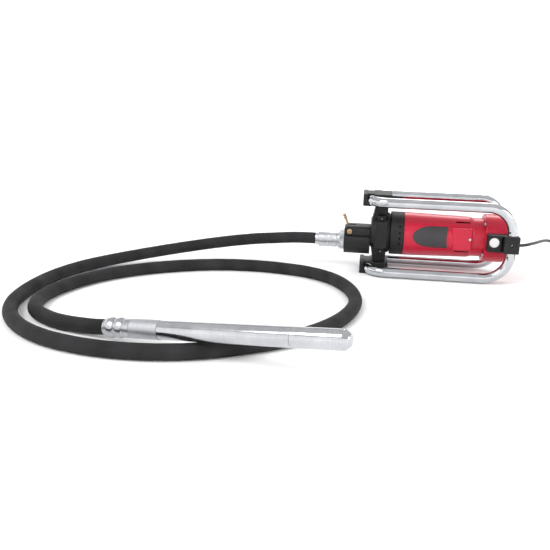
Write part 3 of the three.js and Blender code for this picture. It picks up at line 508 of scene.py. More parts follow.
def smooth_route(route, step):
    """A centripetal Catmull-Rom curve through the route, in even steps."""
    points = [Vector(p) for p in route]
    points = [2 * points[0] - points[1], *points, 2 * points[-1] - points[-2]]
    fine = []
    for p0, p1, p2, p3 in zip(points, points[1:], points[2:], points[3:]):
        t0, t1, t2 = (math.sqrt((b - a).length) for a, b in ((p0, p1), (p1, p2), (p2, p3)))
        m1 = ((p1 - p0) / t0 - (p2 - p0) / (t0 + t1) + (p2 - p1) / t1) * t1
        m2 = ((p2 - p1) / t1 - (p3 - p1) / (t1 + t2) + (p3 - p2) / t2) * t1
        for k in range(24):
            t = k / 24
            fine.append(
                p1 * (2 * t**3 - 3 * t**2 + 1) + m1 * (t**3 - 2 * t**2 + t)
                + p2 * (3 * t**2 - 2 * t**3) + m2 * (t**3 - t**2))
    fine.append(points[-2])
    return even_steps(fine, step)


def even_steps(line, step):
    lengths = [(b - a).length for a, b in zip(line, line[1:])]
    total = sum(lengths)
    count = max(2, round(total / step))
    result = [line[0]]
    index, passed = 0, 0.0
    for k in range(1, count):
        target = total * k / count
        while passed + lengths[index] < target:
            passed += lengths[index]
            index += 1
        result.append(line[index].lerp(line[index + 1], (target - passed) / lengths[index]))
    result.append(line[-1])
    return result


def coil_turns():
    """The lead's coil: in along the lower layer, up at its inside, and out along the upper one."""
    inner = COIL_REACH - COIL_PITCH * LAYER_TURNS
    total = 2 * LAYER_TURNS + CLIMB_TURNS
    line = []
    for k in range(round(total * 48) + 1):
        turn = k / 48
        climb = min(max((turn - LAYER_TURNS) / CLIMB_TURNS, 0), 1)
        reach = inner - 0.8 * math.sin(math.pi * climb)
        if turn < LAYER_TURNS:
            reach = COIL_REACH - COIL_PITCH * turn
        if turn > LAYER_TURNS + CLIMB_TURNS:
            reach = inner + COIL_PITCH * (turn - LAYER_TURNS - CLIMB_TURNS)
        angle = -2 * math.pi * turn
        height = LEAD_DIAMETER / 2 + LAYER_RISE * climb * climb * (3 - 2 * climb)
        line.append(COIL_AT + Vector((reach * math.cos(angle), reach * math.sin(angle), height)))
    return line


def hose_skin(run, angle):
    """The wrapped cover's seams, every few centimetres and a little aslant."""
    lap = run / 47 + 0.10 * math.cos(angle - 0.6) + 0.22 * math.sin(run / 131)
    seam = lap - math.floor(lap)
    groove = math.exp(-((min(seam, 1 - seam) * 47 / 2.2) ** 2))
    ripple = 0.10 * math.sin(run / 9.1 + 2 * math.sin(run / 57)) * math.sin(angle + run / 83)
    return -0.28 * groove + ripple - 0.15


def make_hose():
    line = smooth_route(HOSE_ROUTE, 4.5)
    hose = swept("hose", line, HOSE_DIAMETER / 2, HOSE, 40, hose_skin, 80)
    return settle(hose, UNIT, "hose_rubber", "drive_hose"), line


def make_lead():
    plug_start = Vector((middle("plug_body", 0), span("plug_body", 1)[1], middle("plug_body", 2)))
    turns = coil_turns()
    line = smooth_route(LEAD_ROUTE, 4) + even_steps(turns, 3.5)[1:]
    last = turns[-1]
    tail = [last, last + Vector((0, -14, 1.2)), plug_start + Vector((0, 8, -0.6)), plug_start]
    line += smooth_route(tail, 3)[1:]
    lead = swept("lead", line, LEAD_DIAMETER / 2, LEAD, 16)
    settle(lead, UNIT, "lead_rubber", "power_cable", "cable_coil")
    return lead, line


hose, hose_line = make_hose()
lead, lead_line = make_lead()


# ---------------------------------------------------------------- carrying hoops and saddles

TUBE_RADIUS = 12.5
HOOP_LEFT = span("hoop_front", 0)[0] + TUBE_RADIUS
HOOP_RIGHT = span("hoop_front", 0)[1] - TUBE_RADIUS
HOOP_Y = span("hoop_back", 1)[1] - TUBE_RADIUS
UPPER_TUBE_Z = span("hoop_back", 2)[1] - TUBE_RADIUS
LOWER_TUBE_Z = span("hoop_back", 2)[0] + TUBE_RADIUS
INWARD_BEND = 45
UPRIGHT_BEND = 62


def bend(centre, start, towards, radius, steps=18):
    quarter = math.pi / 2
    return [
        Vector(centre) + (Vector(start) * math.cos(quarter * k / steps)
                          + Vector(towards) * math.sin(quarter * k / steps)) * radius
        for k in range(steps + 1)]


def hoop_line(side):
    inner_x, inner_y = HOOP_LEFT + INWARD_BEND, side * (HOOP_Y - INWARD_BEND)
    upright_x = HOOP_RIGHT - UPRIGHT_BEND
    y = side * HOOP_Y
    out = (0, side, 0)
    return [
        Vector((HOOP_LEFT, side * 8, UPPER_TUBE_Z)),
        *bend((inner_x, inner_y, UPPER_TUBE_Z), (-1, 0, 0), out, INWARD_BEND),
        *bend((upright_x, y, UPPER_TUBE_Z - UPRIGHT_BEND), (0, 0, 1), (1, 0, 0), UPRIGHT_BEND),
        *bend((upright_x, y, LOWER_TUBE_Z + UPRIGHT_BEND), (1, 0, 0), (0, 0, -1), UPRIGHT_BEND),
        *bend((inner_x, inner_y, LOWER_TUBE_Z), out, (-1, 0, 0), INWARD_BEND),
        Vector((HOOP_LEFT, side * 8, LOWER_TUBE_Z)),
    ]


def make_hoops():
    for name, side in SIDES.items():
        hoop = swept(f"{name}_hoop", hoop_line(side), TUBE_RADIUS, CHROME, 40, None, 60)
        settle(hoop, UNIT, "chrome_tube", f"hoop_{name}")


def arc(centre, radius, start, end, steps=10):
    return [
        (centre[0] + radius * math.cos(start + (end - start) * k / steps),
         centre[1] + radius * math.sin(start + (end - start) * k / steps))
        for k in range(steps + 1)]


def make_saddles():
    low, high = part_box("saddle_upper")
    right, half = high[0] / MM, high[1] / MM
    corner_x, corner_y = HOOP_LEFT + INWARD_BEND, HOOP_Y - INWARD_BEND
    rim = corner_x - low[0] / MM
    sweep = math.asin((half - corner_y) / rim)
    plan = [(right, -half), (right, half)]
    plan += arc((corner_x, corner_y), rim, math.pi - sweep, math.pi)
    plan += arc((corner_x, -corner_y), rim, math.pi, math.pi + sweep)
    for name, level in LEVELS.items():
        tube_z = UPPER_TUBE_Z if level > 0 else LOWER_TUBE_Z
        bottom, top = span(f"saddle_{name}", 2)
        saddle = prism(f"{name}_saddle", plan, 2, bottom, top, BLACK)
        soften(saddle, 3.2, 4, 50)
        cutters = []
        for side in SIDES.values():
            cutters.append(swept("tube_space", hoop_line(side), TUBE_RADIUS + 0.35, BLACK, 40))
            centre = (corner_x, side * corner_y)
            near, far = INWARD_BEND - 6, INWARD_BEND + TUBE_RADIUS + 0.35
            turn = math.pi - side * math.pi / 2
            cradle = arc(centre, far, math.pi, turn)
            cradle += [(right + 5, centre[1] + side * far), (right + 5, centre[1] + side * near)]
            cradle += arc(centre, near, turn, math.pi)
            cutters.append(prism("cradle", cradle, 2, tube_z - 4, top + 5, BLACK))
        cutters.append(turned("cross_bore", [(-9, 0), (-9, 12.85), (9, 12.85), (9, 0)],
                              basis((HOOP_LEFT, 0, tube_z), (0, 1, 0)), BLACK, 0, 40))
        cutters.append(block("relief", (6, right + 5), (-9, 9), (tube_z - 7, tube_z + 7), BLACK, 2))
        for cutter in cutters:
            cut(saddle, cutter)
        soften(saddle, 0.5, 2, 40, 40)
        settle(saddle, UNIT, "black_plastic", f"saddle_{name}")


# ---------------------------------------------------------------- gear case and quick coupling

YOKE_LEFT, YOKE_RIGHT = span("gearbox_yoke", 0)
CASE_SCREW_X = 13.5
CASE_SCREW_RISE = 42.5
PANEL_FACE = span("gearbox_yoke", 1)[1]
SCREW_FACE = 42


def make_yoke():
    arms_low, arms_high = span("gearbox_yoke", 2)
    yoke = turned("yoke", [
        (YOKE_LEFT, 0), (YOKE_LEFT, 38), (YOKE_LEFT + 3, 41), (12, 51.5), (YOKE_RIGHT - 3, 52),
        (YOKE_RIGHT - 3, 49), (YOKE_RIGHT, 49), (YOKE_RIGHT, 0),
    ], along_x(AXIS_Z), CASTING, 1.2)
    additions = []
    for level, end in ((1, arms_high), (-1, arms_low)):
        arm = prism("arm", [
            (YOKE_LEFT, AXIS_Z + level * 24), (-3.5, end), (28, end), (30, AXIS_Z + level * 24),
        ], 1, -25, 25, CASTING)
        additions.append(soften(arm, 2.2, 3, 50))
    for side in SIDES.values():
        panel = prism("panel", [
            (-2, AXIS_Z - 33), (1, AXIS_Z + 36), (28, AXIS_Z + 36), (28, AXIS_Z - 33),
        ], 1, *sorted((side * 36, side * PANEL_FACE)), CASTING)
        additions.append(soften(panel, 1.6, 3, 50))
        for level in LEVELS.values():
            lug = block("lug", (4, 23), (side * 18, side * SCREW_FACE),
                        sorted((AXIS_Z + level * 30, AXIS_Z + level * 50)), CASTING)
            additions.append(soften(lug, 2.0, 3, 50))
    for addition in additions:
        join(yoke, addition)
    for side in SIDES.values():
        for level in LEVELS.values():
            at = basis((CASE_SCREW_X, side * SCREW_FACE, AXIS_Z + level * CASE_SCREW_RISE), (0, side, 0))
            cut(yoke, turned("spot_face", [(0, 0), (0, 6.2), (20, 6.2), (20, 0)], at, CASTING, 0, 32))
        cut(yoke, block("joint_line", (30.6, 32.0), (side * 48, side * 60), (AXIS_Z - 44, AXIS_Z + 44),
                        CASTING))
    soften(yoke, 0.5, 2, 40, 40)
    settle(yoke, UNIT, "black_casting", "gearbox_yoke")
    for side_name, side in SIDES.items():
        for level_name, level in LEVELS.items():
            height = AXIS_Z + level * CASE_SCREW_RISE
            at = basis((CASE_SCREW_X, side * (SCREW_FACE + 0.3), height), (0, side, 0))
            cap_screw(f"case_screw_{side_name}_{level_name}", at, 3.8, 3.5, BLACKED,
                      f"yoke_screw_{side_name}_{level_name}")


def cap_screw(name, at, radius, height, material, node):
    """A socket cap screw's head and shank: the head stands on the frame's origin, along its X."""
    screw = turned(name, [
        (-8, 0), (-8, 1.9), (0, 1.9), (0, radius), (height - 0.5, radius), (height, radius - 0.5),
        (height, 0),
    ], at, material, 0.25, 40)
    hexagon = turned("socket", [(height * 0.45, 0), (height * 0.45, radius * 0.52),
                                (height + 1, radius * 0.52), (height + 1, 0)], at, material, 0, 6)
    cut(screw, hexagon)
    smooth(screw, 30)
    settle(screw, UNIT, "zinc_steel", node)
    # The blacked screws get a bright zinc dome in the socket: a painted highlight for the glint on each screw head
    if material is BLACKED:
        painted_glint = turned(f"{name}_tip", [
            (height * 0.3, 0), (height * 0.3, radius * 0.46), (height * 0.7, radius * 0.46),
            (height * 0.95, radius * 0.3), (height, 0),
        ], at, ZINC, 0.2, 24)
        settle(painted_glint, UNIT, "zinc_steel")


def make_coupling():
    left, right = span("coupling_housing", 0)
    half = span("coupling_housing", 1)[1]
    top = span("coupling_housing", 2)[1]
    low = OUTPUT_Z + 20
    corner = 14
    section = [(-half, low), (half, low)]
    section += arc((half - corner, top - corner), corner, 0, math.pi / 2, 8)
    section += arc((corner - half, top - corner), corner, math.pi / 2, math.pi, 8)
    upper = prism("coupling", section, 0, left, right, BLACK)
    soften(upper, 1.4, 3, 50)
    lower = turned("barrel", [(left, 0), (left, 33.5), (right, 33.5), (right, 0)],
                   along_x(OUTPUT_Z), BLACK, 1.4, 64)
    join(upper, lower)
    for side in SIDES.values():
        cut(upper, block("seam", (left + 4, right + 2), (side * (half - 0.7), side * (half + 2)),
                         (low - 1.0, low - 0.2), BLACK))
    cut(upper, turned("bore", [(left - 5, 0), (left - 5, 20.5), (right + 5, 20.5), (right + 5, 0)],
                      along_x(OUTPUT_Z), BLACK, 0, 64))
    notch = [(left - 2, 111), (left - 2, top + 2), (left + 10, top + 2)]
    cut(upper, prism("notch", notch, 1, -40, 40, BLACK))
    cut(upper, block("lever_slot", (left - 2, -51), (-5.2, 5.2), (OUTPUT_Z, top + 3), BLACK))
    soften(upper, 0.45, 2, 40, 40)
    settle(upper, UNIT, "black_plastic", "coupling_housing")


def make_lever():
    lean = math.radians(24)
    stem_way = Vector((-math.sin(lean), 0, math.cos(lean)))
    grip = turned("lever", [
        (4, 0), (4, 3.3), (17, 3.3), (18, 2.9), (30, 2.9), (31, 3.7), (33, 4), (37.5, 4), (38, 3.2),
        (39, 3.2), (39.5, 4), (43, 4), (44, 3), (44, 0),
    ], basis(LEVER_PIN, stem_way, Vector((0, 1, 0))), BRASS, 0.4, 40)
    hub = turned("hub", [(-4.8, 4.35), (-4.8, 8), (4.8, 8), (4.8, 4.35)],
                 basis(LEVER_PIN, (0, 1, 0)), BRASS, 0.5, 48)
    dog = block("dog", (LEVER_PIN.x - 3, LEVER_PIN.x + 3), (-4, 4), (LEVER_PIN.z - 12, LEVER_PIN.z - 6),
                BRASS)
    join(hub, soften(dog, 0.6, 2, 50))
    join(grip, hub)
    smooth(grip, 35)
    settle(grip, "lever", "brass", "lock_lever")
    low, high = span("lever_pin", 1)
    pin = turned("pin", [
        (low, 0), (low, 5.2), (low + 1.4, 6.8), (low + 2.5, 6.8), (low + 2.5, 4), (high - 2.5, 4),
        (high - 2.5, 6.8), (high - 1.4, 6.8), (high, 5.2), (high, 0),
    ], basis((LEVER_PIN.x, 0, LEVER_PIN.z), (0, 1, 0)), BRASS, 0.5, 48)
    for side in SIDES.values():
        dimple = turned("dimple", [(0, 0), (0, 2.1), (1.0, 1.3), (1.0, 0)],
                        basis((LEVER_PIN.x, side * (high + 0.2), LEVER_PIN.z), (0, -side, 0)), BRASS, 0, 32)
        cut(pin, dimple)
    smooth(pin, 32)
    settle(pin, UNIT, "brass", "lever_pin")


def make_sleeve():
    left, right = span("connector_sleeve", 0)
    face = span("coupling_housing", 0)[0]
    sleeve = turned("sleeve", [
        (left, 8), (left, 15.4), (left + 0.6, 16), (-149.5, 16.3), (-148.4, 19.2), (-146.5, 20.4),
        (-126, 20.4), (-125, 20.0), (-123.5, 20.0), (-122.5, 20.4), (-101.5, 20.4), (-100.4, 18.9),
        (-98.4, 18.9), (-97.3, 21.2), (-95.2, 21.2), (-94.4, 22.8), (-93.4, 23.4),
        (face - 0.3, 23.4), (face - 0.3, 16), (-62.5, 16), (-62.5, 19), (right, 19), (right, 8),
    ], along_x(OUTPUT_Z), ZINC, 0.35, 80)
    teeth = 56
    knurl = []
    for k in range(2 * teeth):
        reach = 25 if k % 2 else 24.1
        angle = math.pi * k / teeth
        knurl.append((reach * math.cos(angle), OUTPUT_Z + reach * math.sin(angle)))
    ring = prism("knurl", knurl, 0, -92.4, face - 1.2, ZINC)
    ring_lay = ring.data.attributes.new("lay", "FLOAT_VECTOR", "POINT")
    for i, vertex in enumerate(ring.data.vertices):
        ring_lay.data[i].vector = vertex.co
    join(sleeve, ring)
    smooth(sleeve, 28)
    settle(sleeve, UNIT, "zinc_steel", "connector_sleeve")


# ---------------------------------------------------------------- motor

RING_LEFT, RING_RIGHT = span("vent_ring", 0)
HOUSING_LEFT, HOUSING_RIGHT = span("motor_housing", 0)
FRONT_RADIUS = 56
REAR_RADIUS = 52.2
NECK_RADIUS = 49
TAPER_FROM, TAPER_TO = 78, 236


def shell_radius(x):
    return FRONT_RADIUS + (REAR_RADIUS - FRONT_RADIUS) * (x - TAPER_FROM) / (TAPER_TO - TAPER_FROM)


VENT_RADIUS = 2.3


def make_vent_ring():
    ring = turned("vented_ring", [
        (RING_LEFT, 42), (RING_LEFT, 55.0), (RING_LEFT + 0.8, 55.75), (62, 55.75), (RING_RIGHT - 1, 55.75),
        (RING_RIGHT, 55.2), (RING_RIGHT, 50.5), (45, 50.5), (45, 42),
    ], along_x(AXIS_Z), BLACK, 0.5, 96)
    for side in SIDES.values():
        for rise in (-18, -4, 10, 25):
            angle = math.asin(rise / 55.75)
            way = Vector((0, side * math.cos(angle), math.sin(angle)))
            at = Vector((60, 0, AXIS_Z)) + way * 44
            hole = [(0, 0), (0, VENT_RADIUS), (20, VENT_RADIUS), (20, 0)]
            cut(ring, turned("hole", hole, basis(at, way, Vector((1, 0, 0))), BLACK, 0, 24))
    soften(ring, 0.35, 2, 40, 35)
    settle(ring, UNIT, "black_plastic", "vent_ring")


def bullet(left, shoulder, right, bottom, top, waist):
    """The badge's outline in X and Z: a half ellipse, two straight edges and a dished right edge."""
    mid, half = (bottom + top) / 2, (top - bottom) / 2
    outline = [
        (shoulder + (shoulder - left) * math.cos(a), mid + half * math.sin(a))
        for a in (math.pi / 2 + math.pi * k / 28 for k in range(29))]
    for k in range(13):
        t = k / 12
        outline.append((right - waist * math.sin(math.pi * t), bottom + (top - bottom) * t))
    return outline


def skin(name, outline, radius_from, radius_to, material, side=-1):
    """The slice of a tapered shell over an outline, between two heights above the housing's surface."""
    xs = [p[0] for p in outline]
    left, right = min(xs) - 4, max(xs) + 4
    shell = turned(name, [
        (left, shell_radius(left) + radius_from), (left, shell_radius(left) + radius_to),
        (right, shell_radius(right) + radius_to), (right, shell_radius(right) + radius_from),
    ], along_x(AXIS_Z), material, 0, 160)
    combine(shell, [prism("stamp", outline, 1, *sorted((side * 20, side * 80)), material)], "INTERSECT")
    return shell


def make_housing():
    housing = turned("housing", [
        (HOUSING_LEFT, 52.6), (HOUSING_LEFT, FRONT_RADIUS - 0.5), (HOUSING_LEFT + 0.6, FRONT_RADIUS),
        (TAPER_FROM, FRONT_RADIUS), (TAPER_TO - 2, REAR_RADIUS), (TAPER_TO + 1, REAR_RADIUS - 0.9),
        (241, 50.2), (243, NECK_RADIUS + 0.6), (245, NECK_RADIUS), (HOUSING_RIGHT, NECK_RADIUS),
        (HOUSING_RIGHT, 44.5),
        (240, 44.5), (236, 48.8),
    ], along_x(AXIS_Z), RED, 0.8, 160)
    inside = [(66, 0), (66, 52.6), (236, 48.8), (240, 44.5), (290, 44.5), (290, 0)]
    low, high = span("badge_plate", 0)
    bottom, top = span("badge_plate", 2)
    for side in SIDES.values():
        pad_outline = bullet(low - 14, 138, high + 5, bottom - 8, top + 7, 3)
        pad = skin("pad", pad_outline, -2, 0.28, RED, side)
        join(housing, soften(pad, 0.25, 2, 50))
        panel = prism("panel", [
            (194, AXIS_Z - 28), (187, AXIS_Z + 29), (240.5, AXIS_Z + 29), (240.5, AXIS_Z - 28),
        ], 1, *sorted((side * 40, side * 53.6)), RED)
        soften(panel, 4.5, 5, 50)
        cut(panel, turned("inside", inside, along_x(AXIS_Z), RED, 0, 96))
        join(housing, panel)
        for rise in (-31.5, 41.5):
            cut(housing, block("slot", (199, 235), (side * 20, side * 60),
                               (AXIS_Z + rise - 1.5, AXIS_Z + rise + 1.5), RED, 1.2))
        mark = block("mark", (208, 221), (side * 53.1, side * 55), (AXIS_Z + 8, AXIS_Z + 13), RED, 0.8)
        cut(housing, mark)
    cut(housing, turned("screw_recess", [(0, 0), (0, 4.4), (4, 4.4), (4, 0)],
                        basis((234.5, -53.2, AXIS_Z + 3), (0, -1, 0)), RED, 0, 32))
    soften(housing, 0.4, 2, 35, 30)
    settle(housing, UNIT, "red_plastic", "motor_housing")
    cap_screw("side_screw", basis((234.5, -54.1, AXIS_Z + 3), (0, -1, 0)), 3.4, 2, ZINC, "housing_screw")


def make_badge():
    low, high = span("badge_plate", 0)
    bottom, top = span("badge_plate", 2)
    plate = skin("badge", bullet(low, 140, high, bottom, top, 4), 0.32, 1.55, GREY)
    soften(plate, 0.45, 3, 50, 35)
    settle(plate, UNIT, "badge_grey", "badge_plate")


CAP_LEFT, CAP_RIGHT = span("end_cap", 0)
CAP_RADIUS = 61
CAP_SCREW_ANGLES = [48, 132, 222, 318]
CAP_SCREW_REACH = 54.4


def make_end_cap():
    cap = turned("rear_cap", [
        (CAP_LEFT, NECK_RADIUS + 0.3), (CAP_LEFT, CAP_RADIUS - 1.2), (CAP_LEFT + 1.2, CAP_RADIUS),
        (318, CAP_RADIUS), (324, CAP_RADIUS - 0.6), (328.5, CAP_RADIUS - 2.4),
        (331.6, CAP_RADIUS - 6), (CAP_RIGHT, CAP_RADIUS - 12), (CAP_RIGHT, 0), (330, 0), (330, 46),
        (320, 54), (280, 55.5), (280, NECK_RADIUS + 0.3),
    ], along_x(AXIS_Z), RED, 1.6, 144)
    for angle in (66, 114, -66, -114):
        turn = math.radians(angle)
        way = Vector((0, math.cos(turn), math.sin(turn)))
        groove = turned("groove", [(CAP_LEFT + 5, 0), (CAP_LEFT + 5, 0.55), (320, 0.55), (320, 0)],
                        basis(Vector((0, 0, AXIS_Z)) + way * (CAP_RADIUS + 0.1), (1, 0, 0)), RED, 0, 12)
        cut(cap, groove)
    for angle in CAP_SCREW_ANGLES:
        turn = math.radians(angle)
        reach = Vector((0, math.cos(turn), math.sin(turn))) * (CAP_SCREW_REACH - 0.6)
        boss = turned("boss", [(0, 0), (0, 7.6), (22, 7.6), (34, 5.6), (38, 0)],
                      basis(Vector((CAP_LEFT, 0, AXIS_Z)) + reach, (1, 0, 0)), RED, 2.4, 40)
        join(cap, boss)
    z = middle("switch_body", 2)
    cut(cap, block("switch_space", (322, 345), (-10.8, 10.8), (z - 15, z + 15), RED))
    gland_y, gland_z = middle("cable_gland", 1), middle("cable_gland", 2)
    cut(cap, turned("gland_space", [(322, 0), (322, 7.8), (345, 7.8), (345, 0)],
                    along_x(gland_z, gland_y), RED, 0, 48))
    for turn in range(-3, 4):
        if turn:
            place = turn * 9.0
            cut(cap, block("breather", (322, 345), (place - 1.3, place + 1.3), (AXIS_Z - 44, AXIS_Z - 27),
                           RED, 0.6))
    soften(cap, 0.45, 2, 38, 32)
    settle(cap, UNIT, "red_plastic", "end_cap")
    for i, angle in enumerate(CAP_SCREW_ANGLES):
        turn = math.radians(angle)
        reach = Vector((0, math.cos(turn), math.sin(turn))) * CAP_SCREW_REACH
        at = basis(Vector((CAP_LEFT - 0.3, 0, AXIS_Z)) + reach, (-1, 0, 0))
        cap_screw(f"cap_screw_{i + 1}", at, 3.8, 3.3, ZINC, f"end_cap_screw_{i + 1}")


def make_clamps():
    left, right = span("side_clamp_front", 0)
    bottom, top = span("side_clamp_front", 2)
    step = 310.5
    bolt_x, bolt_z = middle("clamp_bolt_front", 0), middle("clamp_bolt_front", 2)
    for name, side in SIDES.items():
        clamp = block(f"{name}_clamp", (step, right), (side * 50, side * 96), (bottom, top), BLACK)
        soften(clamp, 1.8, 3, 50)
        arm = block("arm", (left, step + 3), (side * 50, side * 86), (bottom, top), BLACK)
        join(clamp, soften(arm, 1.8, 3, 50))
        inner = (bottom + 3.5, top - 3.5)
        cut(clamp, block("pocket", (left + 3, step - 6), (side * 84.6, side * 90), inner, BLACK, 1.5))
        cut(clamp, block("window", (step - 5, step - 0.6), (side * 66, side * 92), inner, BLACK, 0.6))
        around_cap = CAP_RADIUS + 0.35
        cut(clamp, turned("cap_space", [
            (left - 5, 0), (left - 5, around_cap), (right + 5, around_cap), (right + 5, 0),
        ], along_x(AXIS_Z), BLACK, 0, 144))
        tube_at = basis((HOOP_RIGHT, side * HOOP_Y, (bottom + top) / 2), (0, 0, 1), Vector((1, 0, 0)))
        cut(clamp, turned("tube_space", [(-60, 0), (-60, 12.85), (60, 12.85), (60, 0)], tube_at,
                          BLACK, 0, 48))
        cut(clamp, turned("screw_hole", [(0, 0), (0, 2.6), (14, 2.6), (14, 0)],
                          basis((330, side * 88, AXIS_Z + 1), (0, side, 0)), BLACK, 0, 32))
        soften(clamp, 0.5, 2, 40, 35)
        settle(clamp, UNIT, "black_plastic", f"side_clamp_{name}")
        bolt = turned(f"{name}_bolt", [
            (62, 0), (62, 5), (86.3, 5), (86.3, 11.6), (86.8, 12), (88.6, 12), (90.3, 10.8), (91.1, 8),
            (91.3, 0),
        ], basis((bolt_x, 0, bolt_z), (0, side, 0)), WHITE, 0.8, 64)
        settle(bolt, UNIT, "white_plastic", f"clamp_bolt_{name}")


def make_switch():
    z = middle("switch_body", 2)
    bezel = block("switch_case", (CAP_RIGHT + 0.3, CAP_RIGHT + 2), (-13, 13), (z - 17, z + 17), BLACK, 0.6)
    join(bezel, block("case", (314, CAP_RIGHT + 1), (-10.5, 10.5), (z - 14.7, z + 14.7), BLACK))
    cut(bezel, block("well", (322, CAP_RIGHT + 5), (-8.3, 8.3), (z - 12.3, z + 12.3), BLACK))
    soften(bezel, 0.4, 2, 40)
    settle(bezel, UNIT, "black_plastic", "switch_body")
    tilt = math.radians(9)
    outline = [(-7, -6.5), (-7, 6.5), (4, 11.2)]
    outline += [(4 - 7 * t * (1 - t), 11.2 - 22.4 * t) for t in (k / 8 for k in range(1, 8))]
    outline += [(4, -11.2)]
    pivot = Vector(JOINTS["switch_rock"]["pos_m"]) / MM
    across, down = math.cos(tilt), math.sin(tilt)
    placed = [(pivot.x + x * across + h * down, pivot.z - x * down + h * across) for x, h in outline]
    rocker = prism("rocker_key", placed, 1, -8, 8, BLACK)
    soften(rocker, 0.6, 3, 40)
    settle(rocker, "rocker", "black_plastic", "switch_rocker")


def make_gland():
    start, end = span("cable_gland", 0)
    profile = [(start, 0), (start, 7.5), (333.3, 7.5), (333.3, 10.5), (335.5, 10.5), (338, 8.6), (341, 8.0)]
    for k in range(5):
        x = 343 + 4 * k
        reach = 7.6 - 0.5 * k
        profile += [(x, reach), (x + 0.3, reach - 0.9), (x + 1.5, reach - 1.0), (x + 1.8, reach - 0.15)]
    profile += [(end, 5.3), (end, 0)]
    at = along_x(middle("cable_gland", 2), middle("cable_gland", 1))
    gland = turned("gland", profile, at, LEAD, 0.4, 48)
    settle(gland, UNIT, "lead_rubber", "cable_gland")


# ---------------------------------------------------------------- vibrating head and plug


def bead(centre, half, base, height):
    return [
        (centre + half * k / 5, base + height * math.cos(math.pi / 2 * k / 5)) for k in range(-5, 6)]


def make_head():
    ferrule = turned("crimped_ferrule", [
        (0.3, 8.5), (0.3, 15.4), (1.2, 16.2), (3.6, 16.6), *bead(14.5, 9, 16.7, 2.5),
        *bead(34, 9, 16.7, 2.5), (45, 16.9), (47, 17.4), (61, 17.6), (61, 8.5),
    ], HEAD_FRAME, SATIN, 0.4, 96)
    settle(ferrule, UNIT, "zinc_steel", "hose_ferrule")
    coupling = turned("threaded_coupling", [
        (61.3, 8.5), (61.3, 17.2), (62.2, 18), (120.2, 18), (120.6, 18.3), (121.6, 18.3), (122, 17.9),
        (122, 8.5),
    ], HEAD_FRAME, FROSTED, 0.2, 96)
    settle(coupling, UNIT, "zinc_steel", "head_coupling")
    return [ferrule, coupling, NODES["head_tube"], NODES["head_nose"]]


def make_plug():
    x, z = middle("plug_body", 0), middle("plug_body", 2)
    end, start = span("plug_body", 1)
    way = basis((x, start, z), (0, -1, 0))
    length = start - end
    profile = [(0, 0), (0, 5)]
    for k in range(5):
        at, reach = 3 + 5.2 * k, 5.1 + 0.5 * k
        profile += [(at, reach), (at + 2.6, reach + 0.15), (at + 2.9, reach - 1.1), (at + 4.7, reach - 1.0)]
    profile += [(30, 7.6), (36, 15), (44, 19), (length - 2, 19), (length, 17), (length, 0)]
    plug = turned("plug", profile, way, LEAD, 1.0, 64)
    for side in (-1, 1):
        flat = block("grip", (x + side * 15.5, x + side * 25), (end + 3, end + 22), (z - 12, z + 12),
                     LEAD, 3)
        cut(plug, flat)
    soften(plug, 0.8, 3, 40, 40)
    settle(plug, UNIT, "lead_rubber", "plug_body")
    made = [plug]
    for name in ("plug_pin_left", "plug_pin_right"):
        low, high = span(name, 1)
        at = basis((middle(name, 0), high, middle(name, 2)), (0, -1, 0))
        reach = high - low
        pin = turned(name.replace("plug_pin", "prong"), [
            (0, 0), (0, 2.4), (reach - 1.6, 2.4), (reach - 0.4, 1.6), (reach, 0.8), (reach, 0),
        ], at, BRASS, 0.3, 32)
        made.append(settle(pin, UNIT, "brass", name))
    return made


make_hoops()
make_saddles()
make_yoke()
make_coupling()
make_lever()
make_sleeve()
make_vent_ring()
make_housing()
make_badge()
make_end_cap()
make_clamps()
make_switch()
make_gland()
head_pieces = make_head()
plug_pieces = make_plug()

# ---------------------------------------------------------------- stage and light

STAGE_RADIUS = 4.6            # metres
STAGE_BEND = 0.9
STAGE_HEIGHT = 2.4


def make_stage():
    """A round pale floor that curves up into a low wall, the same from every side."""
    profile = [(0.0, 0.0), (STAGE_RADIUS - STAGE_BEND, 0.0)]
    for k in range(1, 13):
        angle = math.pi / 2 * k / 12
        profile.append((
            STAGE_RADIUS - STAGE_BEND + STAGE_BEND * math.sin(angle), STAGE_BEND * (1 - math.cos(angle))))
    profile.append((STAGE_RADIUS, STAGE_HEIGHT))
    sides = 96
    verts = [(0, 0, 0)]
    for radius, height in profile[1:]:
        for k in range(sides):
            angle = 2 * math.pi * k / sides
            verts.append((radius * math.cos(angle), radius * math.sin(angle), height))
    faces = [(0, 1 + k, 1 + (k + 1) % sides) for k in range(sides)]
    for row in range(len(profile) - 2):
        start = 1 + row * sides
        for k in range(sides):
            n = (k + 1) % sides
            faces.append((start + k, start + sides + k, start + sides + n, start + n))
    mesh = bpy.data.meshes.new("stage")
    mesh.from_pydata(verts, [], faces)
    floor = bpy.data.objects.new("stage", mesh)
    bpy.context.scene.collection.objects.link(floor)
    floor.data.shade_smooth()
    paper = Shader("paper", Roughness=0.9, Specular_IOR_Level=0.1)
    paper.bsdf.inputs["Base Color"].default_value = (0.93, 0.93, 0.93, 1)
    paper.bsdf.inputs["Emission Color"].default_value = (1, 1, 1, 1)
    far = paper.node("VectorMath", {0: paper.place()}, operation="LENGTH").outputs["Value"]
    paper.set("Emission Strength", paper.scaled(far, 1.6, 3.2, 0.0, 0.36))
    mesh.materials.append(paper.material)


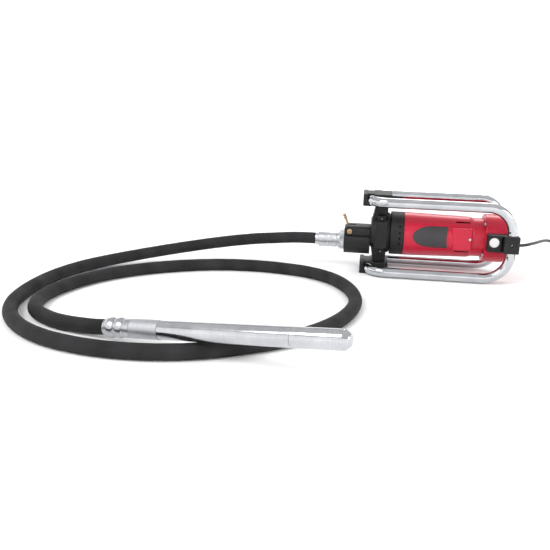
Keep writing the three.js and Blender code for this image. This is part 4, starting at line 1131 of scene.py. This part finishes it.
def make_light():
    """A sky bright overhead and dim low down, so that plating shows dark edges, and three soft boxes."""
    world = bpy.data.worlds.new("studio")
    world.use_nodes = True
    bpy.context.scene.world = world
    tree = world.node_tree
    position = tree.nodes.new("ShaderNodeTexCoord")
    parts = tree.nodes.new("ShaderNodeSeparateXYZ")
    ramp = tree.nodes.new("ShaderNodeValToRGB")
    tree.links.new(position.outputs["Generated"], parts.inputs[0])
    tree.links.new(parts.outputs["Z"], ramp.inputs["Fac"])
    tree.links.new(ramp.outputs["Color"], tree.nodes["Background"].inputs["Color"])
    stops = ramp.color_ramp.elements
    stops[0].position, stops[0].color = 0.0, (0.42, 0.42, 0.43, 1)
    stops[1].position, stops[1].color = 1.0, (1.0, 1.0, 1.0, 1)
    for place, level in ((0.30, 0.26), (0.45, 0.30), (0.62, 1.0)):
        stop = ramp.color_ramp.elements.new(place)
        stop.color = (level, level, level * 1.01, 1)
    tree.nodes["Background"].inputs["Strength"].default_value = 0.85
    for name, at, aim, size, power in (
        ("key", (-1.6, -2.2, 2.6), (0.0, 0.0, 0.0), 1.8, 62),
        ("fill", (2.6, -1.6, 1.7), (0.0, -0.2, 0.1), 1.6, 26),
        ("back", (0.4, 2.6, 2.4), (0.0, 0.0, 0.1), 1.8, 34),
    ):
        data = bpy.data.lights.new(name, "AREA")
        data.shape = "RECTANGLE"
        data.size, data.size_y = size, size * 0.6
        data.energy = power
        lamp = bpy.data.objects.new(name, data)
        lamp.location = at
        lamp.rotation_mode = "QUATERNION"
        lamp.rotation_quaternion = (Vector(aim) - Vector(at)).to_track_quat("-Z", "Y")
        bpy.context.scene.collection.objects.link(lamp)
    bpy.context.scene.view_settings.view_transform = "Standard"


make_stage()
make_light()

# ---------------------------------------------------------------- CAD nodes that show as they are

BY_SLOT = {
    "chrome_tube": CHROME, "black_plastic": BLACK, "black_casting": CASTING, "red_plastic": RED,
    "badge_grey": GREY, "zinc_steel": INNER_STEEL, "polished_steel": POLISHED, "dark_steel": DARK_STEEL,
    "brass": BRASS, "copper": COPPER, "white_plastic": WHITE, "hose_rubber": LEAD, "lead_rubber": LEAD,
    "carbon": CARBON,
}
for part in frame["record"]["subparts"]:
    mesh = NODES[part["node"]].data
    mesh.materials.clear()
    mesh.materials.append(BY_SLOT[part["material_slot"]])
